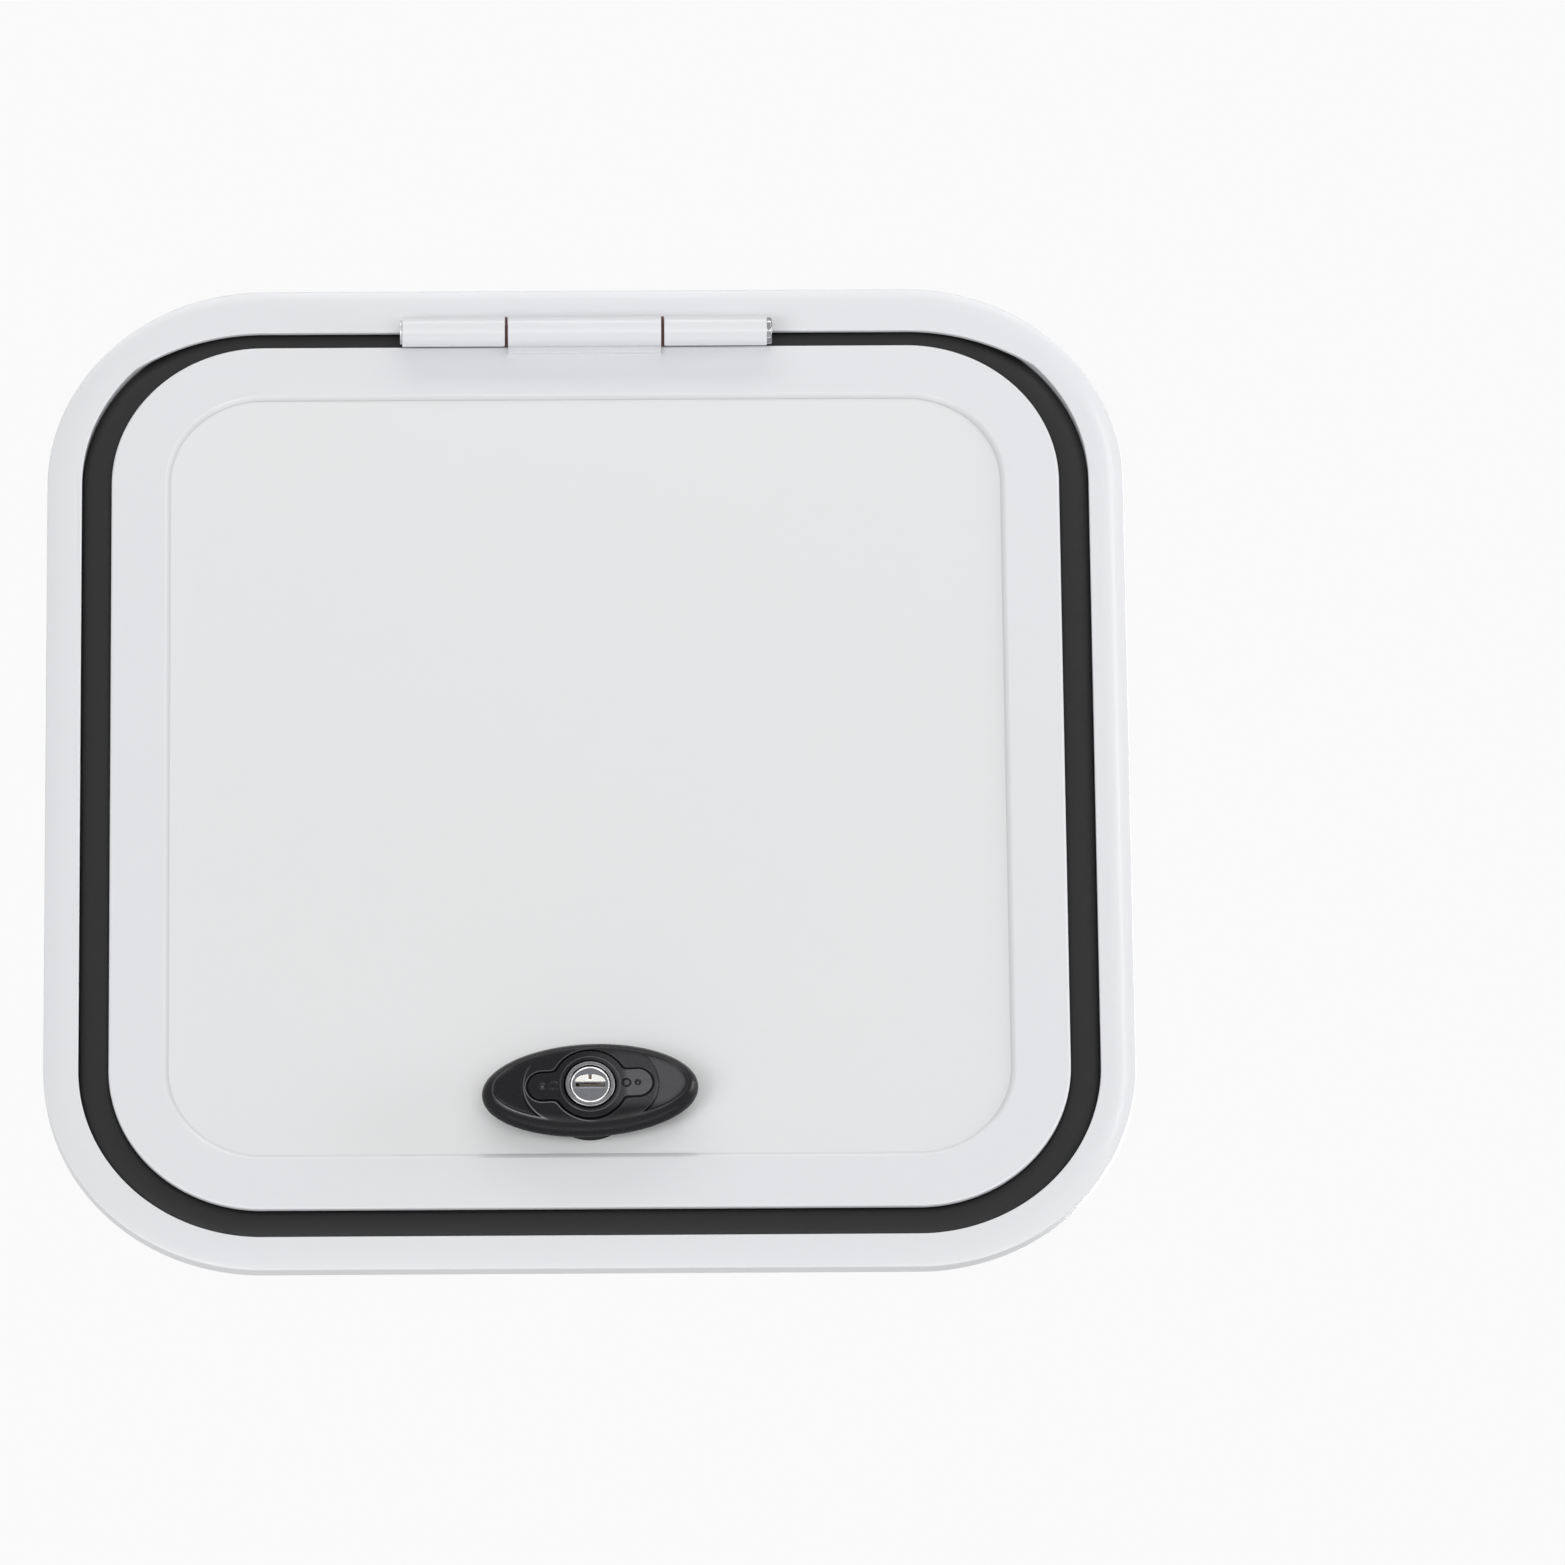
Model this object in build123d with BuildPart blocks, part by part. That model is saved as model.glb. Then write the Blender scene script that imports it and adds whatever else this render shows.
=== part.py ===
# Compartment door for a camper: a square leaf on a top hinge, inside a swept aluminium
# frame that drops into a hole in the vehicle wall. Millimetres.
# X runs to the right, Y into the wall and Z up. The origin is the centre of the frame's
# wall face. Heights called "out" are measured from that face towards the outside.
import os
from math import cos, radians, sin, sqrt

from build123d import *

os.makedirs("parts", exist_ok=True)

# frame extrusion
frame_size = 399.0  # outer width and height of the flange
frame_radius = 80.0  # outer corner radius of the flange
flange_width = 12.8  # flange seen from the front
flange_height = 6.5  # flange stands out of the wall at its inner edge
flange_flat = 4.0  # flat inner part, before the crown falls to the outer edge
flange_edge = 5.3  # height of the outer edge
flange_draft = 0.2  # the outer edge leans in towards the wall
sealant_groove_width = 4.0
sealant_groove_depth = 1.5
neck_wall = 2.0  # sleeve that passes through the wall
neck_depth = 20.0  # sleeve behind the wall face
clip_rib = 1.6  # thickness and height of the two ribs that the wall clips hook on
clip_channel = 4.0  # slot between the ribs
ledge_width = 15.0  # inner ledge that carries the seal
ledge_depth = 8.0  # ledge front behind the wall face
ledge_wall = 2.0
hinge_lip_drop = 5.0  # the flange reaches further in along the top, under the hinge
hinge_lip_wall = 2.0

# weather seal
seal_width = 13.7
seal_side_gap = 0.3  # seal to sleeve
seal_shoulder = 11.0  # straight side of the seal above the ledge
seal_clear = 0.3  # seal crown to the underside of the leaf's edge

# leaf extrusion and sandwich panel
leaf_gap = 11.0  # visible gap between the frame and the leaf
leaf_overhang = 5.9  # leaf's front edge reaches past its body over the seal
leaf_depth = 22.5
leaf_wall = 2.0
leaf_edge_round = 1.0
leaf_return = 12.0  # rear return that holds the inner panel
band_width = 21.9  # leaf extrusion seen round the panel
band_bevel_width = 2.0  # bevel down to the panel
band_bevel_drop = 0.8
panel_lip = 1.2  # lip of the leaf extrusion over the panel's edge
panel_skin = 1.2
panel_side_gap = 0.2

# hinge
knuckle_diameter = 11.0
knuckle_middle = 57.0
knuckle_side = 38.2
hinge_washer = 0.9
hinge_play = 0.1  # end play on each side of a washer
hinge_standoff = 6.3  # hinge axis in front of the flange
hinge_drop = 8.1  # hinge axis below the sleeve's inner face
pin_diameter = 5.0
pin_play = 0.05
pin_head_diameter = 10.0
pin_head = 2.2
pin_head_bevel = 0.7
pin_cap_diameter = 9.0
pin_cap = 0.8
frame_foot = 4.2  # foot of the side knuckles, above the hinge lip's edge
frame_foot_inset = 0.4
leaf_foot = 2.1  # foot of the middle knuckle on the leaf
leaf_foot_inset = 0.3
leaf_foot_thick = 1.7

# lock
lock_inset = 20.9  # lock axis above the panel's lower edge
rosette_diameter = 30.0
rosette_thick = 2.4
rosette_bevel = 0.8
housing_diameter = 20.0
housing_flange = 24.0
housing_flange_thick = 1.5
housing_hole_play = 0.4
nut_width = 27.0
nut_thick = 5.0
housing_tail = 1.0  # housing stands out of the nut
handle_gap = 0.6
handle_length = 79.0
handle_height = 36.0
handle_tip = 11.0  # radius of the oval's two ends
handle_lean = 2.7  # degrees that the handle rests off level
handle_thick = 12.2
handle_front_round = 3.6
handle_back_bevel = 5.2  # undercut for the fingers
badge_radius = 13.4  # raised dog-bone round the key cylinder
badge_length = 45.6
badge_height = 10.6
badge_raise = 0.5
mark_spacing = 4.2  # dimple and ring that mark each end of the badge
mark_offset = 13.2
mark_diameter = 3.2
mark_depth = 0.4
scoop_margin = 4.4  # finger scoops at the two ends, inside the oval's edge
scoop_centre = 10.0  # arc that ends each scoop towards the badge
scoop_radius = 14.9
scoop_depth = 0.8
bezel_diameter = 18.4
bezel_depth = 6.0
bezel_stand = 0.1  # bezel stands out of the badge
bezel_bevel = 0.6
bezel_play = 0.1
plug_diameter = 14.8
plug_length = 10.7
plug_recess = 0.6  # plug face behind the bezel's rim
plug_play = 0.1
shutter_width = 11.0
shutter_height = 3.4
shutter_raise = 0.5
keyway_width = 10.4
keyway_height = 1.3
keyway_depth = 2.0
keyway_offset = 0.6
spindle_diameter = 12.0
spindle_play = 0.1
spindle_square = 8.0
cam_gap = 0.5
cam_thick = 3.0
cam_width = 16.0
cam_square_play = 0.1
cam_catch = 8.0  # cam reaches this far past the keeper's edge
cam_screw_diameter = 11.0
cam_screw_thick = 3.0
cam_screw_bevel = 0.8
keeper_width = 30.0
keeper_gap = 1.0  # keeper to the latched cam
keeper_ramp = 3.0

# half sizes and radii that follow
frame_half = frame_size / 2
sleeve_half = frame_half - flange_width
sleeve_radius = frame_radius - flange_width
ledge_half = sleeve_half - ledge_width
leaf_half = sleeve_half - leaf_gap
leaf_radius = sleeve_radius - leaf_gap
body_half = leaf_half - leaf_overhang
body_radius = leaf_radius - leaf_overhang
view_half = leaf_half - band_width
panel_half = body_half - leaf_wall - panel_side_gap
panel_radius = body_radius - leaf_wall - panel_side_gap

# heights out of the wall face that follow
front_out = flange_height
edge_under_out = front_out - leaf_wall
panel_out = front_out - panel_lip
leaf_back_out = front_out - leaf_depth
inner_out = leaf_back_out + leaf_wall
hinge_out = front_out + hinge_standoff
rosette_out = panel_out + rosette_thick
handle_back_out = rosette_out + handle_gap
handle_out = handle_back_out + handle_thick
nut_back_out = inner_out - nut_thick
housing_back_out = nut_back_out - housing_tail
cam_front_out = housing_back_out - cam_gap
cam_back_out = cam_front_out - cam_thick

# places that follow
hinge_z = sleeve_half - hinge_drop
lip_z = sleeve_half - hinge_lip_drop
lock_z = lock_inset - view_half
knuckle_radius = knuckle_diameter / 2
pin_bore = pin_diameter / 2 + pin_play
washer_gap = hinge_washer + 2 * hinge_play
side_start = knuckle_middle / 2 + washer_gap
side_end = side_start + knuckle_side
outward_y = Vector(0, -1, 0)


def ring_path(half, radius):
    # closed rounded square in the wall face
    with BuildSketch(Plane.XZ) as outline:
        RectangleRounded(2 * half, 2 * half, radius)
    return outline.sketch.face().outer_wire()


def across(path):
    # plane across the start of a ring: x points out of the ring, y out of the wall
    start = path @ 0
    side = (path % 0).cross(outward_y)
    if side.dot(start) < 0:
        side = -side
    return Plane(origin=start, x_dir=side, z_dir=side.cross(outward_y))


def lock_plane(out, turn=0):
    # plane at a height out of the wall, centred on the lock axis and turned about it
    x_dir = (cos(radians(turn)), 0, sin(radians(turn)))
    return Plane(origin=(0, -out, lock_z), x_dir=x_dir, z_dir=outward_y)


def oval(length, height, tip):
    # oval of four tangent arcs
    a, b = length / 2, height / 2
    flank = ((a - tip) ** 2 + b**2 - tip**2) / (2 * (b - tip))
    lean = (a - tip) / (flank - tip)
    x = flank * lean
    z = flank * sqrt(1 - lean**2) - (flank - b)
    with BuildSketch() as outline:
        with BuildLine():
            ThreePointArc((-x, z), (0, b), (x, z))
            ThreePointArc((x, z), (a, 0), (x, -z))
            ThreePointArc((x, -z), (0, -b), (-x, -z))
            ThreePointArc((-x, -z), (-a, 0), (-x, z))
        make_face()
    return outline.sketch


def save(builder, name):
    builder.part.label = name
    export_step(builder.part, f"parts/{name}.step")


# outer frame: one extrusion swept round, with the hinge lip along the top
sleeve_path = ring_path(sleeve_half, sleeve_radius)
groove_centre = (neck_wall + flange_width) / 2
groove_near = groove_centre - sealant_groove_width / 2
groove_far = groove_centre + sealant_groove_width / 2
rib_far = neck_wall + clip_rib
with BuildPart() as outer_frame:
    with BuildSketch(across(sleeve_path)):
        with BuildLine():
            Polyline((0, -ledge_depth), (0, front_out), (flange_flat, front_out))
            crown = TangentArc(
                (flange_flat, front_out), (flange_width, flange_edge), tangent=(1, 0)
            )
            Polyline(
                crown @ 1,
                (flange_width - flange_draft, 0),
                (groove_far, 0),
                (groove_far, sealant_groove_depth),
                (groove_near, sealant_groove_depth),
                (groove_near, 0),
                (neck_wall, 0),
                (neck_wall, -neck_depth + 2 * clip_rib + clip_channel),
                (rib_far, -neck_depth + 2 * clip_rib + clip_channel),
                (rib_far, -neck_depth + clip_rib + clip_channel),
                (neck_wall, -neck_depth + clip_rib + clip_channel),
                (neck_wall, -neck_depth + clip_rib),
                (rib_far, -neck_depth + clip_rib),
                (rib_far, -neck_depth),
                (0, -neck_depth),
                (0, -ledge_depth - ledge_wall),
                (-ledge_width, -ledge_depth - ledge_wall),
                (-ledge_width, -ledge_depth),
                (0, -ledge_depth),
            )
        make_face()
    sweep(path=sleeve_path)
    # the lip's edge is straight above the leaf and meets the corners half way round
    straight_half = sleeve_half - sleeve_radius
    corner_mid = straight_half + sleeve_radius * cos(radians(45))
    with BuildSketch(Plane.XZ.offset(front_out - hinge_lip_wall)):
        with BuildLine():
            edge = Line((-straight_half, lip_z), (straight_half, lip_z))
            right_arc = TangentArc(edge @ 1, (corner_mid, corner_mid), tangent=(1, 0))
            left_arc = TangentArc(edge @ 0, (-corner_mid, corner_mid), tangent=(-1, 0))
            Polyline(right_arc @ 1, (frame_half, frame_half), (-frame_half, frame_half), left_arc @ 1)
        make_face()
        RectangleRounded(2 * sleeve_half, 2 * sleeve_half, sleeve_radius, mode=Mode.INTERSECT)
    extrude(amount=hinge_lip_wall)
save(outer_frame, "outer_frame")

# weather seal: domed rubber section standing on the ledge
seal_crown = edge_under_out - seal_clear
with BuildPart() as frame_seal:
    with BuildSketch(across(sleeve_path)):
        with BuildLine():
            base = Polyline(
                (-seal_side_gap, seal_shoulder - ledge_depth),
                (-seal_side_gap, -ledge_depth),
                (-seal_side_gap - seal_width, -ledge_depth),
                (-seal_side_gap - seal_width, seal_shoulder - ledge_depth),
            )
            ThreePointArc(base @ 1, (-seal_side_gap - seal_width / 2, seal_crown), base @ 0)
        make_face()
    sweep(path=sleeve_path)
save(frame_seal, "frame_seal")

# leaf frame: channel that wraps the sandwich panel and overlaps the seal
body_path = ring_path(body_half, body_radius)
with BuildPart() as leaf_frame:
    with BuildSketch(across(body_path)):
        with BuildLine():
            Polyline(
                (leaf_overhang - band_width, panel_out),
                (leaf_overhang - band_width, front_out - band_bevel_drop),
                (leaf_overhang - band_width + band_bevel_width, front_out),
                (leaf_overhang - leaf_edge_round, front_out),
            )
            RadiusArc(
                (leaf_overhang - leaf_edge_round, front_out),
                (leaf_overhang, front_out - leaf_edge_round),
                leaf_edge_round,
            )
            Polyline(
                (leaf_overhang, front_out - leaf_edge_round),
                (leaf_overhang, edge_under_out),
                (0, edge_under_out),
                (0, leaf_back_out),
                (-leaf_return, leaf_back_out),
                (-leaf_return, inner_out),
                (-leaf_wall, inner_out),
                (-leaf_wall, panel_out),
                (leaf_overhang - band_width, panel_out),
            )
        make_face()
    sweep(path=body_path)
save(leaf_frame, "leaf_frame")

# sandwich panel: two skins on a foam core, all drilled for the lock housing
core_back_out = inner_out + panel_skin
core_front_out = panel_out - panel_skin
housing_hole = housing_diameter / 2 + housing_hole_play
with BuildPart() as outer_panel:
    with BuildSketch(Plane.XZ.offset(core_front_out)):
        RectangleRounded(2 * panel_half, 2 * panel_half, panel_radius)
        with Locations((0, lock_z)):
            Circle(housing_hole, mode=Mode.SUBTRACT)
    extrude(amount=panel_skin)
save(outer_panel, "outer_panel")

with BuildPart() as panel_core:
    with BuildSketch(Plane.XZ.offset(core_back_out)):
        RectangleRounded(2 * panel_half, 2 * panel_half, panel_radius)
        with Locations((0, lock_z)):
            Circle(housing_hole, mode=Mode.SUBTRACT)
    extrude(amount=core_front_out - core_back_out)
save(panel_core, "panel_core")

with BuildPart() as inner_panel:
    with BuildSketch(Plane.XZ.offset(inner_out)):
        RectangleRounded(2 * panel_half, 2 * panel_half, panel_radius)
        with Locations((0, lock_z)):
            Circle(housing_hole, mode=Mode.SUBTRACT)
    extrude(amount=panel_skin)
save(inner_panel, "inner_panel")

# hinge: two knuckles on the frame, one on the leaf, washers between them and one pin
foot_low = lip_z + frame_foot_inset
for name, x_start in (("hinge_knuckle_left", -side_end), ("hinge_knuckle_right", side_start)):
    with BuildPart() as frame_knuckle:
        with BuildSketch(Plane.YZ.offset(x_start)):
            with Locations((-hinge_out, hinge_z)):
                Circle(knuckle_radius)
            with BuildLine():
                Polyline(
                    (-front_out, foot_low),
                    (-front_out, foot_low + frame_foot),
                    (-hinge_out, hinge_z + knuckle_radius),
                    (-hinge_out, hinge_z),
                    (-front_out, foot_low),
                )
            make_face()
            with Locations((-hinge_out, hinge_z)):
                Circle(pin_bore, mode=Mode.SUBTRACT)
        extrude(amount=knuckle_side)
    save(frame_knuckle, name)

foot_top = leaf_half - leaf_edge_round - leaf_foot_inset
with BuildPart() as leaf_knuckle:
    with BuildSketch(Plane.YZ.offset(-knuckle_middle / 2)):
        with Locations((-hinge_out, hinge_z)):
            Circle(knuckle_radius)
        with BuildLine():
            Polyline(
                (-front_out, foot_top),
                (-front_out, foot_top - leaf_foot),
                (-front_out - leaf_foot_thick, foot_top - leaf_foot),
                (-front_out - leaf_foot_thick, hinge_z),
                (-front_out, foot_top),
            )
        make_face()
        with Locations((-hinge_out, hinge_z)):
            Circle(pin_bore, mode=Mode.SUBTRACT)
    extrude(amount=knuckle_middle)
save(leaf_knuckle, "hinge_knuckle_leaf")

washer_left = -side_start + hinge_play
washer_right = side_start - hinge_play - hinge_washer
for name, x_start in (("hinge_washer_left", washer_left), ("hinge_washer_right", washer_right)):
    with BuildPart() as hinge_washer_ring:
        with BuildSketch(Plane.YZ.offset(x_start)):
            with Locations((-hinge_out, hinge_z)):
                Circle(knuckle_radius)
                Circle(pin_bore, mode=Mode.SUBTRACT)
        extrude(amount=hinge_washer)
    save(hinge_washer_ring, name)

with BuildPart() as hinge_pin:
    with BuildSketch(Plane.YZ.offset(-side_end - pin_cap)):
        with Locations((-hinge_out, hinge_z)):
            Circle(pin_diameter / 2)
    extrude(amount=pin_cap + 2 * side_end)
    with BuildSketch(Plane.YZ.offset(side_end)):
        with Locations((-hinge_out, hinge_z)):
            Circle(pin_head_diameter / 2)
    extrude(amount=pin_head)
    chamfer(hinge_pin.edges().group_by(Axis.X)[-1], pin_head_bevel)
save(hinge_pin, "hinge_pin")

with BuildPart() as hinge_pin_cap:
    with BuildSketch(Plane.YZ.offset(-side_end - pin_cap)):
        with Locations((-hinge_out, hinge_z)):
            Circle(pin_cap_diameter / 2)
            Circle(pin_bore, mode=Mode.SUBTRACT)
    extrude(amount=pin_cap)
save(hinge_pin_cap, "hinge_pin_cap")

# keeper on the ledge that the latched cam sits behind
keeper_front_out = -ledge_depth - ledge_wall
keeper_back_out = cam_front_out + keeper_gap
with BuildPart() as latch_keeper:
    with BuildSketch(Plane.YZ.offset(-keeper_width / 2)):
        with BuildLine():
            Polyline(
                (-keeper_front_out, -ledge_half),
                (-keeper_front_out, -sleeve_half),
                (-keeper_back_out, -sleeve_half),
                (-keeper_back_out, -ledge_half - keeper_ramp),
                (-keeper_back_out - keeper_ramp, -ledge_half),
                (-keeper_front_out, -ledge_half),
            )
        make_face()
    extrude(amount=keeper_width)
save(latch_keeper, "latch_keeper")

# lock body on the leaf: rosette, threaded housing and back nut
housing_bore = spindle_diameter / 2 + spindle_play
with BuildPart() as lock_housing:
    with BuildSketch(lock_plane(housing_back_out)):
        Circle(housing_diameter / 2)
        Circle(housing_bore, mode=Mode.SUBTRACT)
    extrude(amount=rosette_out - housing_back_out)
    with BuildSketch(lock_plane(panel_out)):
        Circle(housing_flange / 2)
        Circle(housing_bore, mode=Mode.SUBTRACT)
    extrude(amount=housing_flange_thick)
save(lock_housing, "lock_housing")

with BuildPart() as lock_rosette:
    with BuildSketch(lock_plane(panel_out)):
        Circle(rosette_diameter / 2)
    extrude(amount=rosette_thick)
    chamfer(lock_rosette.edges().group_by(Axis.Y)[0], rosette_bevel)
    with BuildSketch(lock_plane(panel_out)):
        Circle(housing_hole)
    extrude(amount=rosette_thick, mode=Mode.SUBTRACT)
    with BuildSketch(lock_plane(panel_out)):
        Circle(housing_flange / 2 + housing_hole_play)
    extrude(amount=housing_flange_thick, mode=Mode.SUBTRACT)
save(lock_rosette, "lock_rosette")

with BuildPart() as lock_nut:
    with BuildSketch(lock_plane(nut_back_out)):
        RegularPolygon(nut_width / 2, 6, major_radius=False)
        Circle(housing_hole, mode=Mode.SUBTRACT)
    extrude(amount=nut_thick)
save(lock_nut, "lock_nut")

# turning handle: an oval moulding with a raised badge and a finger scoop at each tip
badge_out = handle_out + badge_raise
bezel_out = badge_out + bezel_stand
bezel_back_out = bezel_out - bezel_depth
plug_bore = plug_diameter / 2 + plug_play
plug_out = bezel_out - plug_recess
plug_back_out = plug_out - plug_length
with BuildPart() as lock_handle:
    with BuildSketch(lock_plane(handle_back_out, handle_lean)):
        add(oval(handle_length, handle_height, handle_tip))
    extrude(amount=handle_thick)
    fillet(lock_handle.edges().group_by(Axis.Y)[0], handle_front_round)
    chamfer(lock_handle.edges().group_by(Axis.Y)[-1], handle_back_bevel)
    with BuildSketch(lock_plane(handle_out, handle_lean)):
        add(
            oval(
                handle_length - 2 * scoop_margin,
                handle_height - 2 * scoop_margin,
                handle_tip - scoop_margin,
            )
        )
        Rectangle(2 * scoop_centre, handle_height, mode=Mode.SUBTRACT)
        with Locations((-scoop_centre, 0), (scoop_centre, 0)):
            Circle(scoop_radius, mode=Mode.SUBTRACT)
    extrude(amount=-scoop_depth, mode=Mode.SUBTRACT)
    with BuildSketch(lock_plane(handle_out, handle_lean)):
        Circle(badge_radius)
        SlotOverall(badge_length, badge_height)
    extrude(amount=badge_raise)
    with BuildSketch(lock_plane(badge_out, handle_lean)):
        for side in (-1, 1):
            for step in (0, 1):
                with Locations((side * (mark_offset + step * mark_spacing), 0)):
                    Circle(mark_diameter / 2)
    extrude(amount=-mark_depth, mode=Mode.SUBTRACT)
    with BuildSketch(lock_plane(badge_out)):
        Circle(bezel_diameter / 2 + bezel_play)
    extrude(amount=bezel_back_out - badge_out, mode=Mode.SUBTRACT)
    with BuildSketch(lock_plane(badge_out)):
        Circle(plug_bore)
    extrude(amount=plug_back_out - plug_play - badge_out, mode=Mode.SUBTRACT)
save(lock_handle, "lock_handle")

with BuildPart() as lock_bezel:
    with BuildSketch(lock_plane(bezel_back_out)):
        Circle(bezel_diameter / 2)
    extrude(amount=bezel_depth)
    chamfer(lock_bezel.edges().group_by(Axis.Y)[0], bezel_bevel)
    with BuildSketch(lock_plane(bezel_back_out)):
        Circle(plug_bore)
    extrude(amount=bezel_depth, mode=Mode.SUBTRACT)
save(lock_bezel, "lock_bezel")

# spindle from the handle's back to the cam, with a square end
with BuildPart() as lock_spindle:
    with BuildSketch(lock_plane(cam_front_out, handle_lean)):
        Circle(spindle_diameter / 2)
    extrude(amount=handle_back_out - cam_front_out)
    with BuildSketch(lock_plane(cam_back_out, handle_lean)):
        Rectangle(spindle_square, spindle_square)
    extrude(amount=cam_thick)
save(lock_spindle, "lock_spindle")

cam_reach = lock_z + ledge_half + cam_catch
cam_hole = spindle_square + 2 * cam_square_play
with BuildPart() as latch_cam:
    with BuildSketch(lock_plane(cam_back_out, handle_lean)):
        with Locations((cam_reach / 2 - cam_width / 4, 0)):
            SlotOverall(cam_reach + cam_width / 2, cam_width)
        Rectangle(cam_hole, cam_hole, mode=Mode.SUBTRACT)
    extrude(amount=cam_thick)
save(latch_cam, "latch_cam")

with BuildPart() as cam_screw:
    with BuildSketch(lock_plane(cam_back_out)):
        Circle(cam_screw_diameter / 2)
    extrude(amount=-cam_screw_thick)
    chamfer(cam_screw.edges().group_by(Axis.Y)[-1], cam_screw_bevel)
save(cam_screw, "cam_screw")

# key plug in the bezel, with a keyway under a half-moon dust shutter
with BuildPart() as key_plug:
    with BuildSketch(lock_plane(plug_back_out)):
        Circle(plug_diameter / 2)
    extrude(amount=plug_length)
    with BuildSketch(lock_plane(plug_out)):
        with Locations((0, -keyway_offset)):
            Rectangle(keyway_width, keyway_height)
    extrude(amount=-keyway_depth, mode=Mode.SUBTRACT)
save(key_plug, "key_plug")

shutter_base = keyway_height / 2 - keyway_offset
with BuildPart() as key_shutter:
    with BuildSketch(lock_plane(plug_out)):
        with BuildLine():
            chord = Line((-shutter_width / 2, shutter_base), (shutter_width / 2, shutter_base))
            ThreePointArc(chord @ 1, (0, shutter_base + shutter_height), chord @ 0)
        make_face()
    extrude(amount=shutter_raise)
save(key_shutter, "key_shutter")
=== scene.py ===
import bmesh
import bpy
import numpy as np
from mathutils import Matrix, Vector


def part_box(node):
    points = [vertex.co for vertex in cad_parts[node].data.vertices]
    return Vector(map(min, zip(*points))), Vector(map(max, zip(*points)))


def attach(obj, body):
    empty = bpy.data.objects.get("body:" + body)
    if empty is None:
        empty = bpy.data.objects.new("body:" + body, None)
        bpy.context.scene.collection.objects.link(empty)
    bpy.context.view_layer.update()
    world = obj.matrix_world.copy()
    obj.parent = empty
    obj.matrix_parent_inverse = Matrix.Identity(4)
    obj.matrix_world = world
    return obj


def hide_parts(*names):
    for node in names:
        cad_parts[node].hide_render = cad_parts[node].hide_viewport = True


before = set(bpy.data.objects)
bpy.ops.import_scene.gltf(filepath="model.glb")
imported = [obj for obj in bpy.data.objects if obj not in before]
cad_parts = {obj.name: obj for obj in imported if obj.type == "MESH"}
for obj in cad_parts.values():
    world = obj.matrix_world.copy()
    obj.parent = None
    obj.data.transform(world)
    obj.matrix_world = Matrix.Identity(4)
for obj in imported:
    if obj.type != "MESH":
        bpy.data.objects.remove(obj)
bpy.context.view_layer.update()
print("frame loaded:", len(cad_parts), "nodes")

mm = 0.001

# mesh helpers

meshSettings = {
    "mergeWithin": 1e-7,
    "flatWithin": 1e-8,
    "solidMerge": 1e-6,
    "cornerShare": 0.45,
    "flatAngle": 1.0,
    "sharpAngle": 35.0,
    "bevelSegments": 3,
}


def addPiece(name, mesh, material, body, replaced=()):
    # smooth-shaded object on its body, in place of the solids that it stands for
    piece = bpy.data.objects.new(name, mesh)
    bpy.context.scene.collection.objects.link(piece)
    mesh.materials.append(material)
    mesh.polygons.foreach_set("use_smooth", np.ones(len(mesh.polygons), dtype=bool))
    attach(piece, body)
    if replaced:
        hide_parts(*replaced)
    return piece


def gridMesh(name, points, wrapRows=False, wrapCols=False):
    # quads between neighbouring rows and columns; wrapped directions close on themselves,
    # and points that fall together (poles, seams) are merged before normals are set
    rows, cols = points.shape[:2]
    index = np.arange(rows * cols).reshape(rows, cols)
    if wrapRows:
        index = np.vstack([index, index[:1]])
    if wrapCols:
        index = np.hstack([index, index[:, :1]])
    quads = np.stack([index[:-1, :-1], index[:-1, 1:], index[1:, 1:], index[1:, :-1]], -1)
    mesh = bpy.data.meshes.new(name)
    mesh.from_pydata(points.reshape(-1, 3).tolist(), [], quads.reshape(-1, 4).tolist())
    work = bmesh.new()
    work.from_mesh(mesh)
    bmesh.ops.remove_doubles(work, verts=work.verts, dist=meshSettings["mergeWithin"])
    bmesh.ops.dissolve_degenerate(work, edges=work.edges, dist=meshSettings["flatWithin"])
    bmesh.ops.recalc_face_normals(work, faces=work.faces)
    work.to_mesh(mesh)
    work.free()
    return mesh


def meshPoints(mesh):
    flat = np.empty(len(mesh.vertices) * 3)
    mesh.vertices.foreach_get("co", flat)
    return flat.reshape(-1, 3)


def tagVertices(mesh, name, values):
    # a value at each vertex that the material reads
    mesh.attributes.new(name, "FLOAT", "POINT").data.foreach_set("value", values.astype(np.float32))


def evenNormals(piece):
    # large faces rule the shading, so flats stay flat beside small edge rounds
    weighted = piece.modifiers.new("evenNormals", "WEIGHTED_NORMAL")
    weighted.mode = "FACE_AREA"
    weighted.weight = 100
    return piece


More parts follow.
